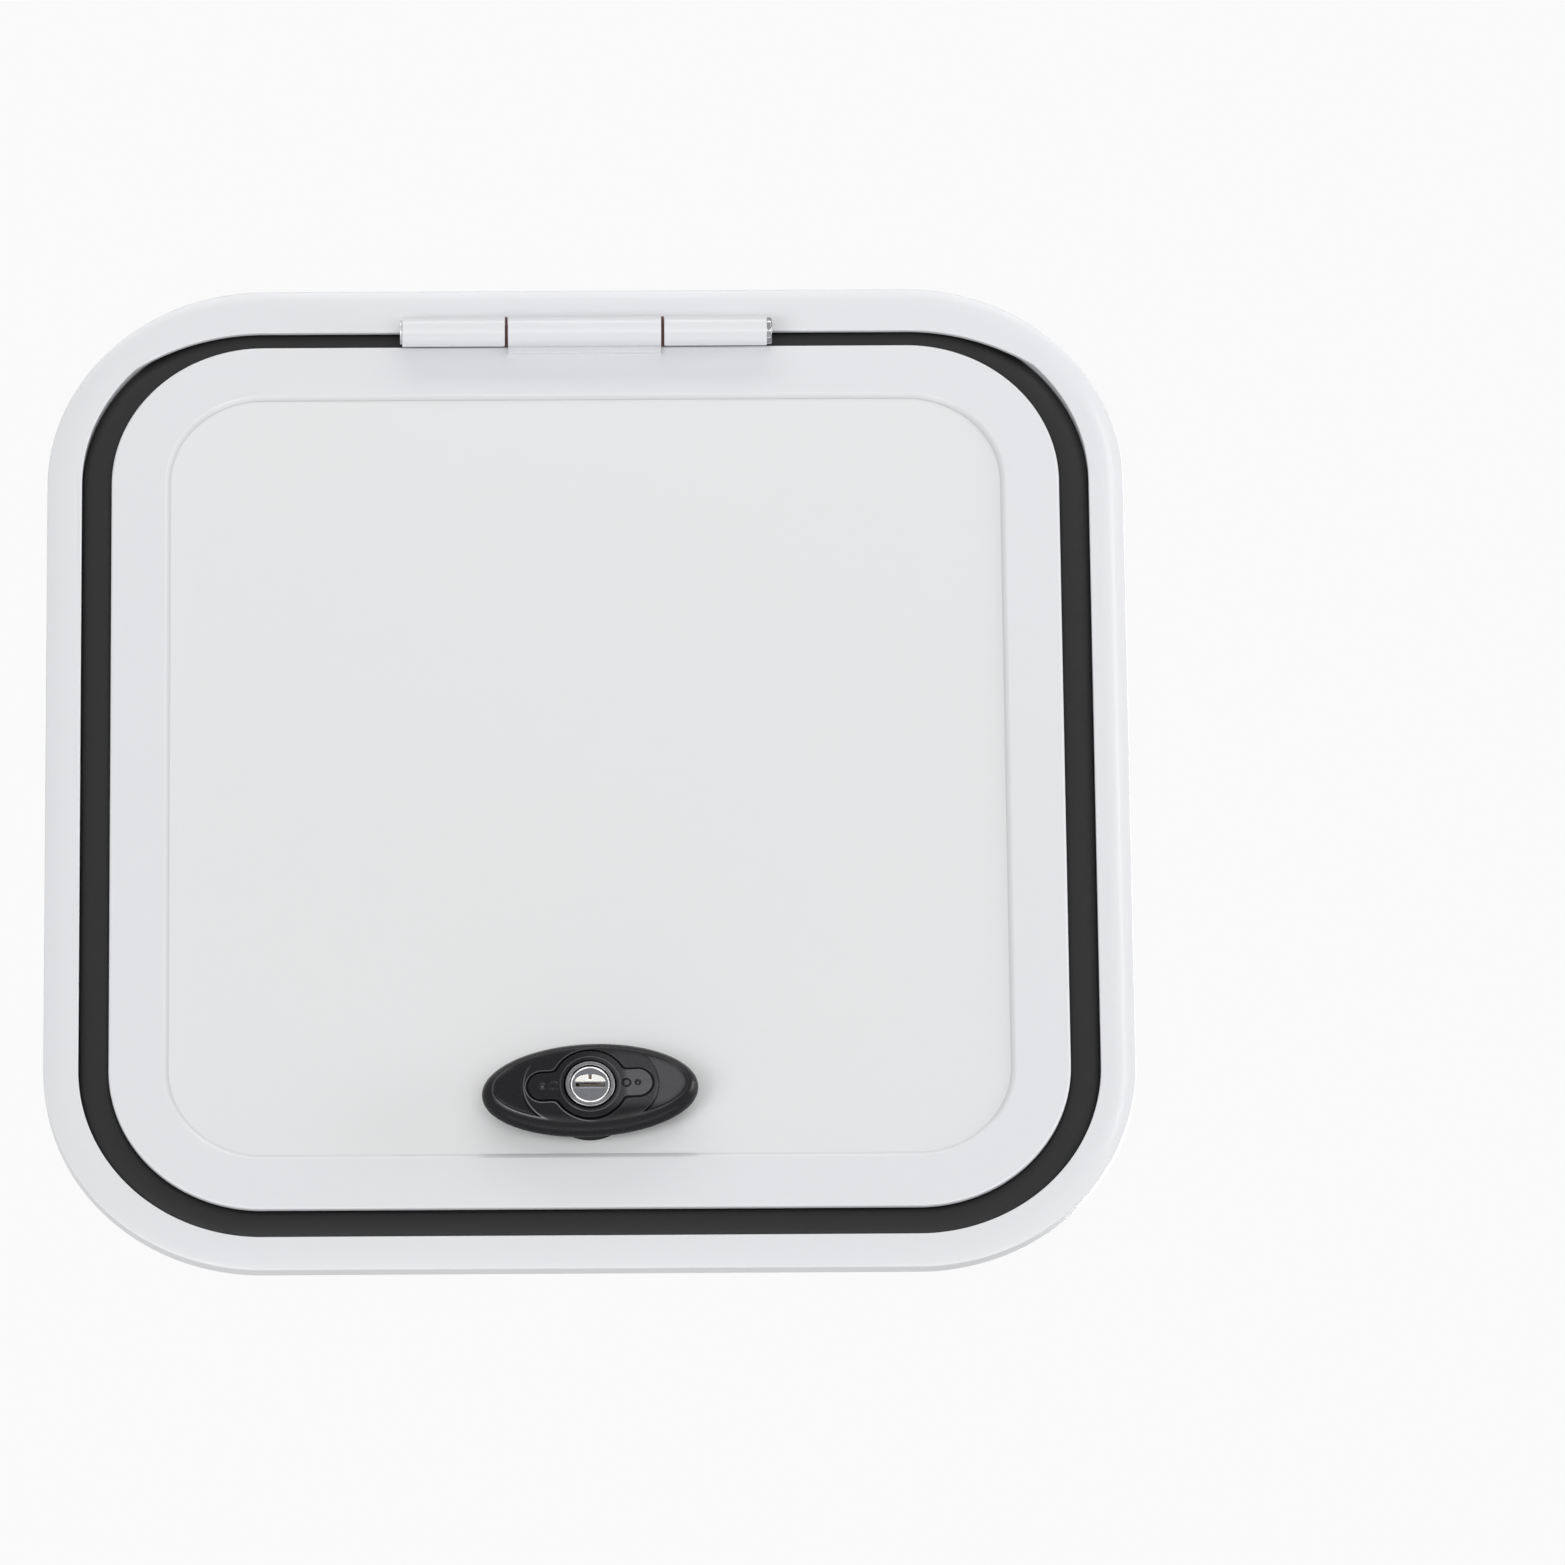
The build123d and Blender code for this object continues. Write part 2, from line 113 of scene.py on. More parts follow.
def roundCorners(corners, radii, steps):
    # each polygon corner becomes a quadratic arc between two points a tangent length away;
    # that length is limited to a share of the shorter edge beside it
    before = np.roll(corners, 1, axis=-2) - corners
    after = np.roll(corners, -1, axis=-2) - corners
    lengthBefore = np.linalg.norm(before, axis=-1, keepdims=True)
    lengthAfter = np.linalg.norm(after, axis=-1, keepdims=True)
    towardBefore = before / lengthBefore
    towardAfter = after / lengthAfter
    cosine = np.sum(towardBefore * towardAfter, axis=-1, keepdims=True)
    half = np.arccos(np.clip(cosine, -1, 1)) / 2
    tangent = np.asarray(radii)[:, None] / np.tan(half)
    shorter = np.minimum(lengthBefore, lengthAfter)
    tangent = np.minimum(tangent, meshSettings["cornerShare"] * shorter)
    start = (corners + towardBefore * tangent)[..., None, :]
    end = (corners + towardAfter * tangent)[..., None, :]
    middle = corners[..., None, :]
    s = np.linspace(0, 1, steps)[:, None]
    arcs = (1 - s) ** 2 * start + 2 * s * (1 - s) * middle + s**2 * end
    return arcs.reshape(*corners.shape[:-2], -1, 2)


def ringPath(half, radius, arcSteps):
    # rounded square as four corner arcs; the sides are the chords between them
    turn = np.radians(np.linspace(0, 90, arcSteps))
    angles = (np.radians([-90, 0, 90, 180])[:, None] + turn).ravel()
    centre = half - radius
    corners = [[centre, -centre], [centre, centre], [-centre, centre], [-centre, -centre]]
    centres = np.repeat(corners, arcSteps, axis=0)
    normals = np.stack([np.cos(angles), np.sin(angles)], -1)
    return centres + radius * normals, normals


def sweepRing(path, normals, profile):
    # profile columns are (out of the ring, out of the wall); one profile per path point
    # or one for all, in metres
    profile = np.broadcast_to(profile, (len(path),) + profile.shape[-2:])
    flat = path[:, None, :] + normals[:, None, :] * profile[..., :1]
    return np.stack([flat[..., 0], -profile[..., 1], flat[..., 1]], -1)


def revolveOut(axisX, axisZ, profile, steps):
    # profile columns are (radius, out of the wall), turned about a line along Y
    turn = np.linspace(0, 2 * np.pi, steps, endpoint=False)[:, None]
    x = axisX + profile[:, 0] * np.cos(turn)
    z = axisZ + profile[:, 0] * np.sin(turn)
    y = np.broadcast_to(-profile[:, 1], x.shape)
    return np.stack([x, y, z], -1)


def revolveAlong(axisY, axisZ, profile, steps):
    # profile columns are (radius, place along X), turned about a line along X
    turn = np.linspace(0, 2 * np.pi, steps, endpoint=False)[:, None]
    y = axisY + profile[:, 0] * np.cos(turn)
    z = axisZ + profile[:, 0] * np.sin(turn)
    x = np.broadcast_to(profile[:, 1], y.shape)
    return np.stack([x, y, z], -1)


def softStep(distance, width):
    # 1 inside a shape, 0 outside, eased over the width of its edge
    t = np.clip(0.5 - distance / width, 0, 1)
    return t * t * (3 - 2 * t)


def softenedCopy(node, material, body, width):
    # a merged copy of a machined solid with its sharp edges broken
    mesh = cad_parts[node].data.copy()
    mesh.name = node + "Soft"
    mesh.materials.clear()
    work = bmesh.new()
    work.from_mesh(mesh)
    bmesh.ops.remove_doubles(work, verts=work.verts, dist=meshSettings["solidMerge"])
    flat = np.radians(meshSettings["flatAngle"])
    bmesh.ops.dissolve_limit(work, angle_limit=flat, verts=work.verts, edges=work.edges)
    work.to_mesh(mesh)
    work.free()
    piece = addPiece(node + "Soft", mesh, material, body, (node,))
    bevel = piece.modifiers.new("brokenEdges", "BEVEL")
    bevel.width = width
    bevel.segments = meshSettings["bevelSegments"]
    bevel.limit_method = "ANGLE"
    bevel.angle_limit = np.radians(meshSettings["sharpAngle"])
    return evenNormals(piece)


# materials

noiseRange = {"low": 0.3, "high": 0.7}
paintSettings = {
    "cloudScale": 9.0,
    "patchScale": 60.0,
    "glossSpread": (-0.01, 0.02),
    "peelScale": 620.0,
    "peelHeight": 0.1 * mm,
    "coat": 0.35,
    "coatRoughness": 0.12,
}
grainSettings = {
    "dustScale": 130.0,
    "patchScale": 420.0,
    "glossSpread": (-0.05, 0.08),
    "grainHeight": 0.08 * mm,
}
metalSettings = {
    "markScale": 900.0,
    "glossShare": (0.7, 1.5),
    "scratchScale": 2600.0,
    "scratchHeight": 0.03 * mm,
}


def newMaterial(name, colour, roughness, metallic=0.0):
    material = bpy.data.materials.new(name)
    material.use_nodes = True
    shader = material.node_tree.nodes["Principled BSDF"]
    shader.inputs["Base Color"].default_value = (*colour, 1)
    shader.inputs["Roughness"].default_value = roughness
    shader.inputs["Metallic"].default_value = metallic
    return material, material.node_tree, shader


def noiseField(tree, scale, detail=2.0, roughness=0.5):
    place = tree.nodes.new("ShaderNodeTexCoord")
    noise = tree.nodes.new("ShaderNodeTexNoise")
    noise.inputs["Scale"].default_value = scale
    noise.inputs["Detail"].default_value = detail
    noise.inputs["Roughness"].default_value = roughness
    tree.links.new(place.outputs["Object"], noise.inputs["Vector"])
    return noise


def spread(tree, source, low, high):
    # stretches the middle of a noise field, where most of it lies, between two values
    ranged = tree.nodes.new("ShaderNodeMapRange")
    ranged.inputs["From Min"].default_value = noiseRange["low"]
    ranged.inputs["From Max"].default_value = noiseRange["high"]
    ranged.inputs["To Min"].default_value = low
    ranged.inputs["To Max"].default_value = high
    tree.links.new(source, ranged.inputs["Value"])
    return ranged.outputs["Result"]


def tint(tree, factor, colourA, colourB):
    mix = tree.nodes.new("ShaderNodeMix")
    mix.data_type = "RGBA"
    mix.inputs["A"].default_value = (*colourA, 1)
    mix.inputs["B"].default_value = (*colourB, 1)
    tree.links.new(factor, mix.inputs["Factor"])
    return mix.outputs["Result"]


def bumpFrom(tree, shader, height, strength, distance):
    bump = tree.nodes.new("ShaderNodeBump")
    bump.inputs["Strength"].default_value = strength
    bump.inputs["Distance"].default_value = distance
    tree.links.new(height, bump.inputs["Height"])
    tree.links.new(bump.outputs["Normal"], shader.inputs["Normal"])


def whitePaint(name, coolWhite, warmWhite, gloss, peel):
    # powder coat: faint cloudiness, an orange-peel skin and a thin clear gloss
    s = paintSettings
    material, tree, shader = newMaterial(name, coolWhite, gloss)
    cloud = noiseField(tree, s["cloudScale"], detail=3.0)
    whites = tint(tree, cloud.outputs["Fac"], coolWhite, warmWhite)
    tree.links.new(whites, shader.inputs["Base Color"])
    patch = noiseField(tree, s["patchScale"])
    glossier, duller = s["glossSpread"]
    rough = spread(tree, patch.outputs["Fac"], gloss + glossier, gloss + duller)
    tree.links.new(rough, shader.inputs["Roughness"])
    skin = noiseField(tree, s["peelScale"], detail=1.0)
    bumpFrom(tree, shader, skin.outputs["Fac"], peel, s["peelHeight"])
    shader.inputs["Coat Weight"].default_value = s["coat"]
    shader.inputs["Coat Roughness"].default_value = s["coatRoughness"]
    return material


def darkGrain(name, colour, dust, gloss, scale, strength, specular=0.5):
    # fine-grained moulding, rubber or foam with a little dust in the hollows
    s = grainSettings
    material, tree, shader = newMaterial(name, colour, gloss)
    shader.inputs["Specular IOR Level"].default_value = specular
    cloud = noiseField(tree, s["dustScale"], detail=4.0, roughness=0.6)
    tree.links.new(tint(tree, cloud.outputs["Fac"], colour, dust), shader.inputs["Base Color"])
    patch = noiseField(tree, s["patchScale"], detail=3.0)
    glossier, duller = s["glossSpread"]
    rough = spread(tree, patch.outputs["Fac"], gloss + glossier, gloss + duller)
    tree.links.new(rough, shader.inputs["Roughness"])
    grain = noiseField(tree, scale, roughness=0.7)
    bumpFrom(tree, shader, grain.outputs["Fac"], strength, s["grainHeight"])
    return material


def tagValue(tree, tag):
    # what the mesh carries at each vertex under this tag
    tagged = tree.nodes.new("ShaderNodeAttribute")
    tagged.attribute_name = tag
    return tagged.outputs["Fac"]


def overlayTagged(material, tag, colour):
    # lays one more colour over what the shader takes, where the mesh carries the tag
    tree = material.node_tree
    baseColour = tree.nodes["Principled BSDF"].inputs["Base Color"]
    mix = tree.nodes.new("ShaderNodeMix")
    mix.data_type = "RGBA"
    mix.inputs["B"].default_value = (*colour, 1)
    tree.links.new(baseColour.links[0].from_socket, mix.inputs["A"])
    tree.links.new(tagValue(tree, tag), mix.inputs["Factor"])
    tree.links.new(mix.outputs["Result"], baseColour)


def metalFinish(name, colour, gloss, scratch, hollowShade=None):
    # metal with fine polishing marks that vary its gloss; a tagged hollow is painted darker, as painted
    # shade
    s = metalSettings
    material, tree, shader = newMaterial(name, colour, gloss, metallic=1.0)
    marks = noiseField(tree, s["markScale"], detail=4.0, roughness=0.7)
    glossier, duller = s["glossShare"]
    rough = spread(tree, marks.outputs["Fac"], gloss * glossier, gloss * duller)
    tree.links.new(rough, shader.inputs["Roughness"])
    fine = noiseField(tree, s["scratchScale"], roughness=0.8)
    bumpFrom(tree, shader, fine.outputs["Fac"], scratch, s["scratchHeight"])
    if hollowShade:
        shade = tint(tree, tagValue(tree, "hollowShade"), colour, hollowShade)
        tree.links.new(shade, shader.inputs["Base Color"])
    return material


coatWhites = (0.757, 0.766, 0.79), (0.768, 0.773, 0.788)
skinWhites = (0.768, 0.776, 0.787), (0.776, 0.779, 0.782)
framePaint = whitePaint("framePaint", *coatWhites, gloss=0.3, peel=0.03)
leafPaint = whitePaint("leafPaint", *coatWhites, gloss=0.3, peel=0.03)
# painted shade: a thin grey line darkens the bevel between the leaf's band and the panel
overlayTagged(leafPaint, "seamShade", (0.6, 0.605, 0.615))
skinPaint = whitePaint("panelSkin", *skinWhites, gloss=0.42, peel=0.02)
rubber = darkGrain("sealRubber", (0.006, 0.006, 0.0065), (0.01, 0.01, 0.0105),
                   gloss=0.46, scale=1500.0, strength=0.12, specular=0.3)
blackMould = darkGrain("lockMoulding", (0.005, 0.005, 0.0065), (0.008, 0.008, 0.0095),
                       gloss=0.26, scale=2400.0, strength=0.1, specular=0.25)
handleMould = darkGrain("handleMoulding", (0.0045, 0.0045, 0.006), (0.007, 0.007, 0.0085),
                        gloss=0.26, scale=2400.0, strength=0.1, specular=0.2)
# painted sheen: the right half of the handle's face is lightened as if it reflected a light
overlayTagged(handleMould, "paintedSheen", (0.095, 0.095, 0.099))
# painted highlight: pale lips along the relief's grooves, strongest on the left and lower side
overlayTagged(handleMould, "paintedHighlight", (0.2, 0.2, 0.21))
fibre = darkGrain("washerFibre", (0.075, 0.018, 0.02), (0.05, 0.014, 0.016),
                  gloss=0.6, scale=2600.0, strength=0.15, specular=0.3)
foam = darkGrain("coreFoam", (0.72, 0.69, 0.58), (0.64, 0.6, 0.48),
                 gloss=0.85, scale=900.0, strength=0.4)
chrome = metalFinish("chromePlate", (0.3, 0.3, 0.31), gloss=0.1, scratch=0.05)
brightChrome = metalFinish("polishedChrome", (0.84, 0.84, 0.83), gloss=0.1, scratch=0.04)
# painted shade: the shutter's notch and the plug's keyway take a darker brown where they are sunk
shutterChrome = metalFinish("shutterChrome", (0.86, 0.85, 0.82), gloss=0.12, scratch=0.05,
                            hollowShade=(0.16, 0.12, 0.09))
ringChrome = metalFinish("satinChrome", (0.2, 0.2, 0.21), gloss=0.2, scratch=0.1)
plugChrome = metalFinish("plugFaceSteel", (0.17, 0.172, 0.185), gloss=0.3, scratch=0.14,
                         hollowShade=(0.11, 0.096, 0.085))
zincSteel = metalFinish("zincSteel", (0.56, 0.56, 0.57), gloss=0.3, scratch=0.12)
print("materials ready")

# frame: the extrusion's section swept round, with the lip that widens along the top

frameLow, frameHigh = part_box("outer_frame")
frameSettings = {
    "outerRadius": 80 * mm,
    "flangeWidth": 12.8 * mm,
    "flangeFlat": 4.0 * mm,
    "flangeEdge": 5.3 * mm,
    "flangeDraft": 0.2 * mm,
    "flangeEdgeRound": 0.6 * mm,
    "crownSteps": 14,
    "neckWall": 2.0 * mm,
    "clipRib": 1.6 * mm,
    "clipChannel": 4.0 * mm,
    "grooveWidth": 4.0 * mm,
    "grooveDepth": 1.5 * mm,
    "ledgeWidth": 15.0 * mm,
    "ledgeDepth": 8.0 * mm,
    "ledgeWall": 2.0 * mm,
    "lipDrop": 5.0 * mm,
    "lipWall": 2.0 * mm,
    "leastLip": 0.03 * mm,
    "edgeRound": 0.6 * mm,
    "innerRound": 0.25 * mm,
    "cornerSteps": 41,
    "roundSteps": 5,
}


def lipReach(path, normals, half, radius, drop, least):
    # the lip's edge is straight over the top and then an arc that is tangent to it and meets
    # the sleeve half way round each top corner; its reach is measured along the ring's normal
    centre = half - radius
    halfWay = np.pi / 4
    rise = centre + radius * np.cos(halfWay) - (half - drop)
    run = radius * np.sin(halfWay)
    arcRadius = (run**2 + rise**2) / (-2 * rise)
    below = arcRadius - (radius - drop)
    across, up = normals.T
    meet = -below * up + np.sqrt(arcRadius**2 - (below * across) ** 2)
    rounding = 1e-6
    reach = np.where(up >= np.cos(halfWay) - rounding, radius - meet, 0)
    return np.maximum(reach, least)


def crownPoints(s, frontOut):
    # circle tangent to the flat that falls to the outer edge
    run = s["flangeWidth"] - s["flangeFlat"]
    fall = frontOut - s["flangeEdge"]
    radius = (run**2 + fall**2) / (2 * fall)
    turn = np.linspace(0, np.arcsin(run / radius), s["crownSteps"])
    across = s["flangeFlat"] + radius * np.sin(turn)
    return np.stack([across, frontOut - radius * (1 - np.cos(turn))], -1)


def buildFrame(s):
    # section corners as (out of the ring, out of the wall, round): lip, crowned flange, sealant
    # groove, sleeve with its two clip ribs, ledge; the lip's two corners follow its reach
    frontOut = -frameLow.y
    depth = frameHigh.y
    half = frameHigh.x - s["flangeWidth"]
    radius = s["outerRadius"] - s["flangeWidth"]
    path, normals = ringPath(half, radius, s["cornerSteps"])
    reach = lipReach(path, normals, half, radius, s["lipDrop"], s["leastLip"])
    width, neck = s["flangeWidth"], s["neckWall"]
    grooveMid = (neck + width) / 2
    grooveNear = grooveMid - s["grooveWidth"] / 2
    grooveFar = grooveMid + s["grooveWidth"] / 2
    ribOut = neck + s["clipRib"]
    ribA = -depth + s["clipRib"]
    ribB = ribA + s["clipChannel"]
    ribC = ribB + s["clipRib"]
    ledgeFront = -s["ledgeDepth"]
    ledgeBack = ledgeFront - s["ledgeWall"]
    lipBack = frontOut - s["lipWall"]
    edge, inner = s["edgeRound"], s["innerRound"]
    crown = [(x, out, 0) for x, out in crownPoints(s, frontOut)[:-2]]
    section = [(0, frontOut, edge)] + crown + [
        (width, s["flangeEdge"], s["flangeEdgeRound"]), (width - s["flangeDraft"], 0, inner),
        (grooveFar, 0, inner), (grooveFar, s["grooveDepth"], inner),
        (grooveNear, s["grooveDepth"], inner), (grooveNear, 0, inner), (neck, 0, inner),
        (neck, ribC, inner), (ribOut, ribC, inner), (ribOut, ribB, inner), (neck, ribB, inner),
        (neck, ribA, inner), (ribOut, ribA, inner), (ribOut, -depth, inner), (0, -depth, inner),
        (0, ledgeBack, inner), (-s["ledgeWidth"], ledgeBack, inner),
        (-s["ledgeWidth"], ledgeFront, inner), (0, ledgeFront, inner),
        (0, lipBack, inner), (0, lipBack, edge),
    ]
    section = np.array(section)
    corners = np.repeat(section[None, :, :2], len(path), axis=0)
    corners[:, 0, 0] = -reach
    corners[:, -1, 0] = -reach
    profile = roundCorners(corners, section[:, 2], s["roundSteps"])
    mesh = gridMesh("frameExtrusion", sweepRing(path, normals, profile), True, True)
    piece = addPiece("frameExtrusion", mesh, framePaint, "frame", ("outer_frame",))
    return evenNormals(piece)


buildFrame(frameSettings)
print("frame extrusion swept")

# weather seal: a gently domed rubber section in the gap

sealLow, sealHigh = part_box("frame_seal")
sealSettings = {
    "sideGap": 0.3 * mm,
    "width": 13.7 * mm,
    "shoulder": 11.0 * mm,
    "shoulderRound": 1.3 * mm,
    "shoulderClear": 1.56 * mm,
    "footRound": 0.3 * mm,
    "domeSteps": 22,
    "cornerSteps": 41,
    "roundSteps": 6,
}


def buildSeal(s):
    # dome: the circle through both shoulders and the crown, with the shoulders rounded over
    half = sealHigh.x + s["sideGap"]
    radius = frameSettings["outerRadius"] - frameSettings["flangeWidth"]
    path, normals = ringPath(half, radius, s["cornerSteps"])
    base, crown = -sealHigh.y, -sealLow.y
    side = base + s["shoulder"]
    rise = crown - side
    domeRadius = (rise**2 + (s["width"] / 2) ** 2) / (2 * rise)
    spanAngle = np.arcsin(s["width"] / 2 / domeRadius)
    turn = np.linspace(spanAngle, -spanAngle, s["domeSteps"])
    middle = -s["sideGap"] - s["width"] / 2
    across = middle + domeRadius * np.sin(turn)
    dome = np.stack([across, crown - domeRadius * (1 - np.cos(turn))], -1)
    keep = np.abs(across - middle) < s["width"] / 2 - s["shoulderClear"]
    inside, outside = middle - s["width"] / 2, middle + s["width"] / 2
    foot = [(inside, side), (inside, base), (outside, base)]
    corners = np.vstack([[(outside, side)], dome[keep], foot])
    radii = np.zeros(len(corners))
    radii[[0, -3]] = s["shoulderRound"]
    radii[[-2, -1]] = s["footRound"]
    profile = roundCorners(corners, radii, s["roundSteps"])
    mesh = gridMesh("weatherSeal", sweepRing(path, normals, profile), True, True)
    return addPiece("weatherSeal", mesh, rubber, "frame", ("frame_seal",))


buildSeal(sealSettings)
print("seal swept")

# leaf: the channel round the panel

leafLow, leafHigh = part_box("leaf_frame")
leafSettings = {
    "gap": 11.0 * mm,
    "overhang": 5.9 * mm,
    "wall": 2.0 * mm,
    "band": 21.9 * mm,
    "bevelWidth": 2.0 * mm,
    "bevelDepth": 0.8 * mm,
    "seamShadeWidth": 1.6 * mm,
    "seamShadeFade": 0.6 * mm,
    "panelLip": 1.2 * mm,
    "backReturn": 12.0 * mm,
    "edgeRound": 1.0 * mm,
    "innerRound": 0.25 * mm,
    "bevelRound": 0.35 * mm,
    "cornerSteps": 41,
    "roundSteps": 5,
}


def buildLeaf(s):
    # section corners as (out of the ring, out of the wall, round): lip on the panel, bevel, band,
    # overhanging edge, outer wall, rear return
    frontOut, backOut = -leafLow.y, -leafHigh.y
    half = leafHigh.x - s["overhang"]
    radius = frameSettings["outerRadius"] - frameSettings["flangeWidth"] - s["gap"] - s["overhang"]
    path, normals = ringPath(half, radius, s["cornerSteps"])
    view = s["overhang"] - s["band"]
    edgeBack = frontOut - s["wall"]
    lipBack = frontOut - s["panelLip"]
    inner = s["innerRound"]
    section = np.array([
        (view, lipBack, inner), (view, frontOut - s["bevelDepth"], inner),
        (view + s["bevelWidth"], frontOut, s["bevelRound"]),
        (s["overhang"], frontOut, s["edgeRound"]), (s["overhang"], edgeBack, inner),
        (0, edgeBack, inner), (0, backOut, inner),
        (-s["backReturn"], backOut, inner), (-s["backReturn"], backOut + s["wall"], inner),
        (-s["wall"], backOut + s["wall"], inner), (-s["wall"], lipBack, inner),
    ])
    profile = roundCorners(section[:, :2], section[:, 2], s["roundSteps"])
    mesh = gridMesh("leafChannel", sweepRing(path, normals, profile), True, True)
    # painted shade: a grey line fills the bevel where a shadow line falls between band and panel; the
    # distance from the ring's path tells where it lies
    place = meshPoints(mesh)
    beyond = np.abs(place[:, [0, 2]]) - half + radius
    beside = np.hypot(*np.maximum(beyond, 0).T) + np.minimum(beyond.max(1), 0) - radius
    tagVertices(mesh, "seamShade", softStep(beside - view - s["seamShadeWidth"], s["seamShadeFade"]))
    piece = addPiece("leafChannel", mesh, leafPaint, "leaf", ("leaf_frame",))
    return evenNormals(piece)


buildLeaf(leafSettings)
print("leaf channel swept")

# hinge and small machined pieces: copies with broken edges

edgeSettings = {
    "hinge_knuckle_left": (framePaint, "frame", "white_paint", 0.35 * mm),
    "hinge_knuckle_right": (framePaint, "frame", "white_paint", 0.35 * mm),
    "hinge_knuckle_leaf": (framePaint, "leaf", "white_paint", 0.35 * mm),
    "latch_keeper": (blackMould, "frame", "black_plastic", 0.5 * mm),
    "latch_cam": (zincSteel, "handle", "steel", 0.3 * mm),
    "lock_nut": (blackMould, "leaf", "black_plastic", 0.6 * mm),
}
for node, (material, body, slot, width) in edgeSettings.items():
    softenedCopy(node, material, body, width)
print("hinge and catch edges broken")

# hinge pin, cap and washers turned about the hinge axis

pinLow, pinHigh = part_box("hinge_pin")
pinSettings = {
    "shaft": 2.5 * mm,
    "shaftRound": 0.1 * mm,
    "neckRound": 0.15 * mm,
    "headDepth": 2.2 * mm,
    "headRound": 0.8 * mm,
    "headDome": 0.25 * mm,
    "capRound": 0.25 * mm,
    "washerRound": 0.2 * mm,
    "headSteps": 6,
    "ringSteps": 5,
    "turnSteps": 72,
}


def buildPin(s):
    # half sections as (radius, place along the axis): shaft with a domed head, then flat rings
    axisY, axisZ = (pinLow.y + pinHigh.y) / 2, (pinLow.z + pinHigh.z) / 2
    head = (pinHigh.z - pinLow.z) / 2
    neckX = pinHigh.x - s["headDepth"]
    corners = np.array([(s["shaft"], pinLow.x), (s["shaft"], neckX), (head, neckX),
                        (head, pinHigh.x - s["headDome"]), (0, pinHigh.x), (0, pinLow.x)])
    radii = [s["shaftRound"], 0, s["neckRound"], s["headRound"], 0, 0]
    profile = roundCorners(corners, radii, s["headSteps"])
    mesh = gridMesh("hingePin", revolveAlong(axisY, axisZ, profile, s["turnSteps"]), True, True)
    evenNormals(addPiece("hingePin", mesh, chrome, "frame", ("hinge_pin",)))
    rings = {
        "hinge_pin_cap": ("pinCap", zincSteel, "steel", s["capRound"]),
        "hinge_washer_left": ("washerLeft", fibre, "maroon_fibre", s["washerRound"]),
        "hinge_washer_right": ("washerRight", fibre, "maroon_fibre", s["washerRound"]),
    }
    for node, (name, material, slot, edge) in rings.items():
        low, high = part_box(node)
        inner, outer = s["shaft"], (high.z - low.z) / 2
        corners = np.array([(inner, low.x), (outer, low.x), (outer, high.x), (inner, high.x)])
        profile = roundCorners(corners, [0, edge, edge, 0], s["ringSteps"])
        mesh = gridMesh(name, revolveAlong(axisY, axisZ, profile, s["turnSteps"]), True, True)
        evenNormals(addPiece(name, mesh, material, "frame", (node,)))


buildPin(pinSettings)
print("hinge pin, cap and washers turned")

# lock handle: an oval pillow with a grooved badge, finger scoops and small marks

handleLow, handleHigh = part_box("lock_handle")
lockZ = (handleLow.z + handleHigh.z) / 2
handleSettings = {
    "length": 79.0 * mm,
    "height": 36.0 * mm,
    "lean": 2.7,
    "faceDrop": 0.5 * mm,
    "frontRound": 3.6 * mm,
    "backBevel": 5.2 * mm,
    "backBlend": 0.4 * mm,
    "footBreak": 0.1 * mm,
    "crownFall": 1.5 * mm,
    "bowFall": 0.6 * mm,
    "crownReach": 7.0 * mm,
    "lowerFall": 1.2 * mm,
    "lowerReach": 7.0 * mm,
    "seatRadius": 9.8 * mm,
    "seatDepth": 2.0 * mm,
    "collarRadius": 10.9 * mm,
    "collarRaise": 0.2 * mm,
    "badgeRadius": 13.3 * mm,
    "badgeReach": 17.4 * mm,
    "badgeHalf": 5.3 * mm,
    "badgeBlend": 1.4 * mm,
    "badgeRaise": 0.28 * mm,
    "grooveOffset": 0.3 * mm,
    "grooveHalf": 0.32 * mm,
    "grooveDepth": 1.0 * mm,
    "scoopMargin": 4.4 * mm,
    "scoopCentre": 10.0 * mm,
    "scoopRadius": 14.9 * mm,
    "scoopTop": 9.0 * mm,
    "scoopDepth": 1.0 * mm,
    "scoopEdge": 1.0 * mm,
    "scoopLine": 0.22 * mm,
    "scoopLineDepth": 0.7 * mm,
    "edgeWidth": 0.55 * mm,
    "badgeLip": 1.0 * mm,
    "scoopLip": 0.6 * mm,
    "lipWidth": 0.32 * mm,
    "lipFade": 8.0 * mm,
    "lipMiddle": 0.4,
    "lipLeast": 0.12,
    "lipLevel": 0.7,
    "lipSlant": 0.3,
    "lipEnd": 39.0 * mm,
    "collarHighlight": 0.3,
    "dotHighlight": 0.7,
    "dotRadius": 0.4 * mm,
    "paintedSheenReach": 14.0 * mm,
    "paintedSheenMiddle": 0.15,
    "paintedSheenMargin": 3.2 * mm,
    "paintedSheenFoot": 10.5 * mm,
    "paintedSheenFade": 3.0 * mm,
    "paintedSheenPlain": 0.36,
    "paintedSheenScoop": 0.7,
    "markNear": 13.2 * mm,
    "markFar": 17.4 * mm,
    "markRadius": 1.45 * mm,
    "markLine": 0.6 * mm,
    "markDepth": 0.8 * mm,
    "markLeft": 0.35,
    "dimpleShare": 1.4,
    "fineSteps": 20001,
    "around": 620,
    "across": 112,
    "roundSteps": 14,
    "blendSteps": 7,
}


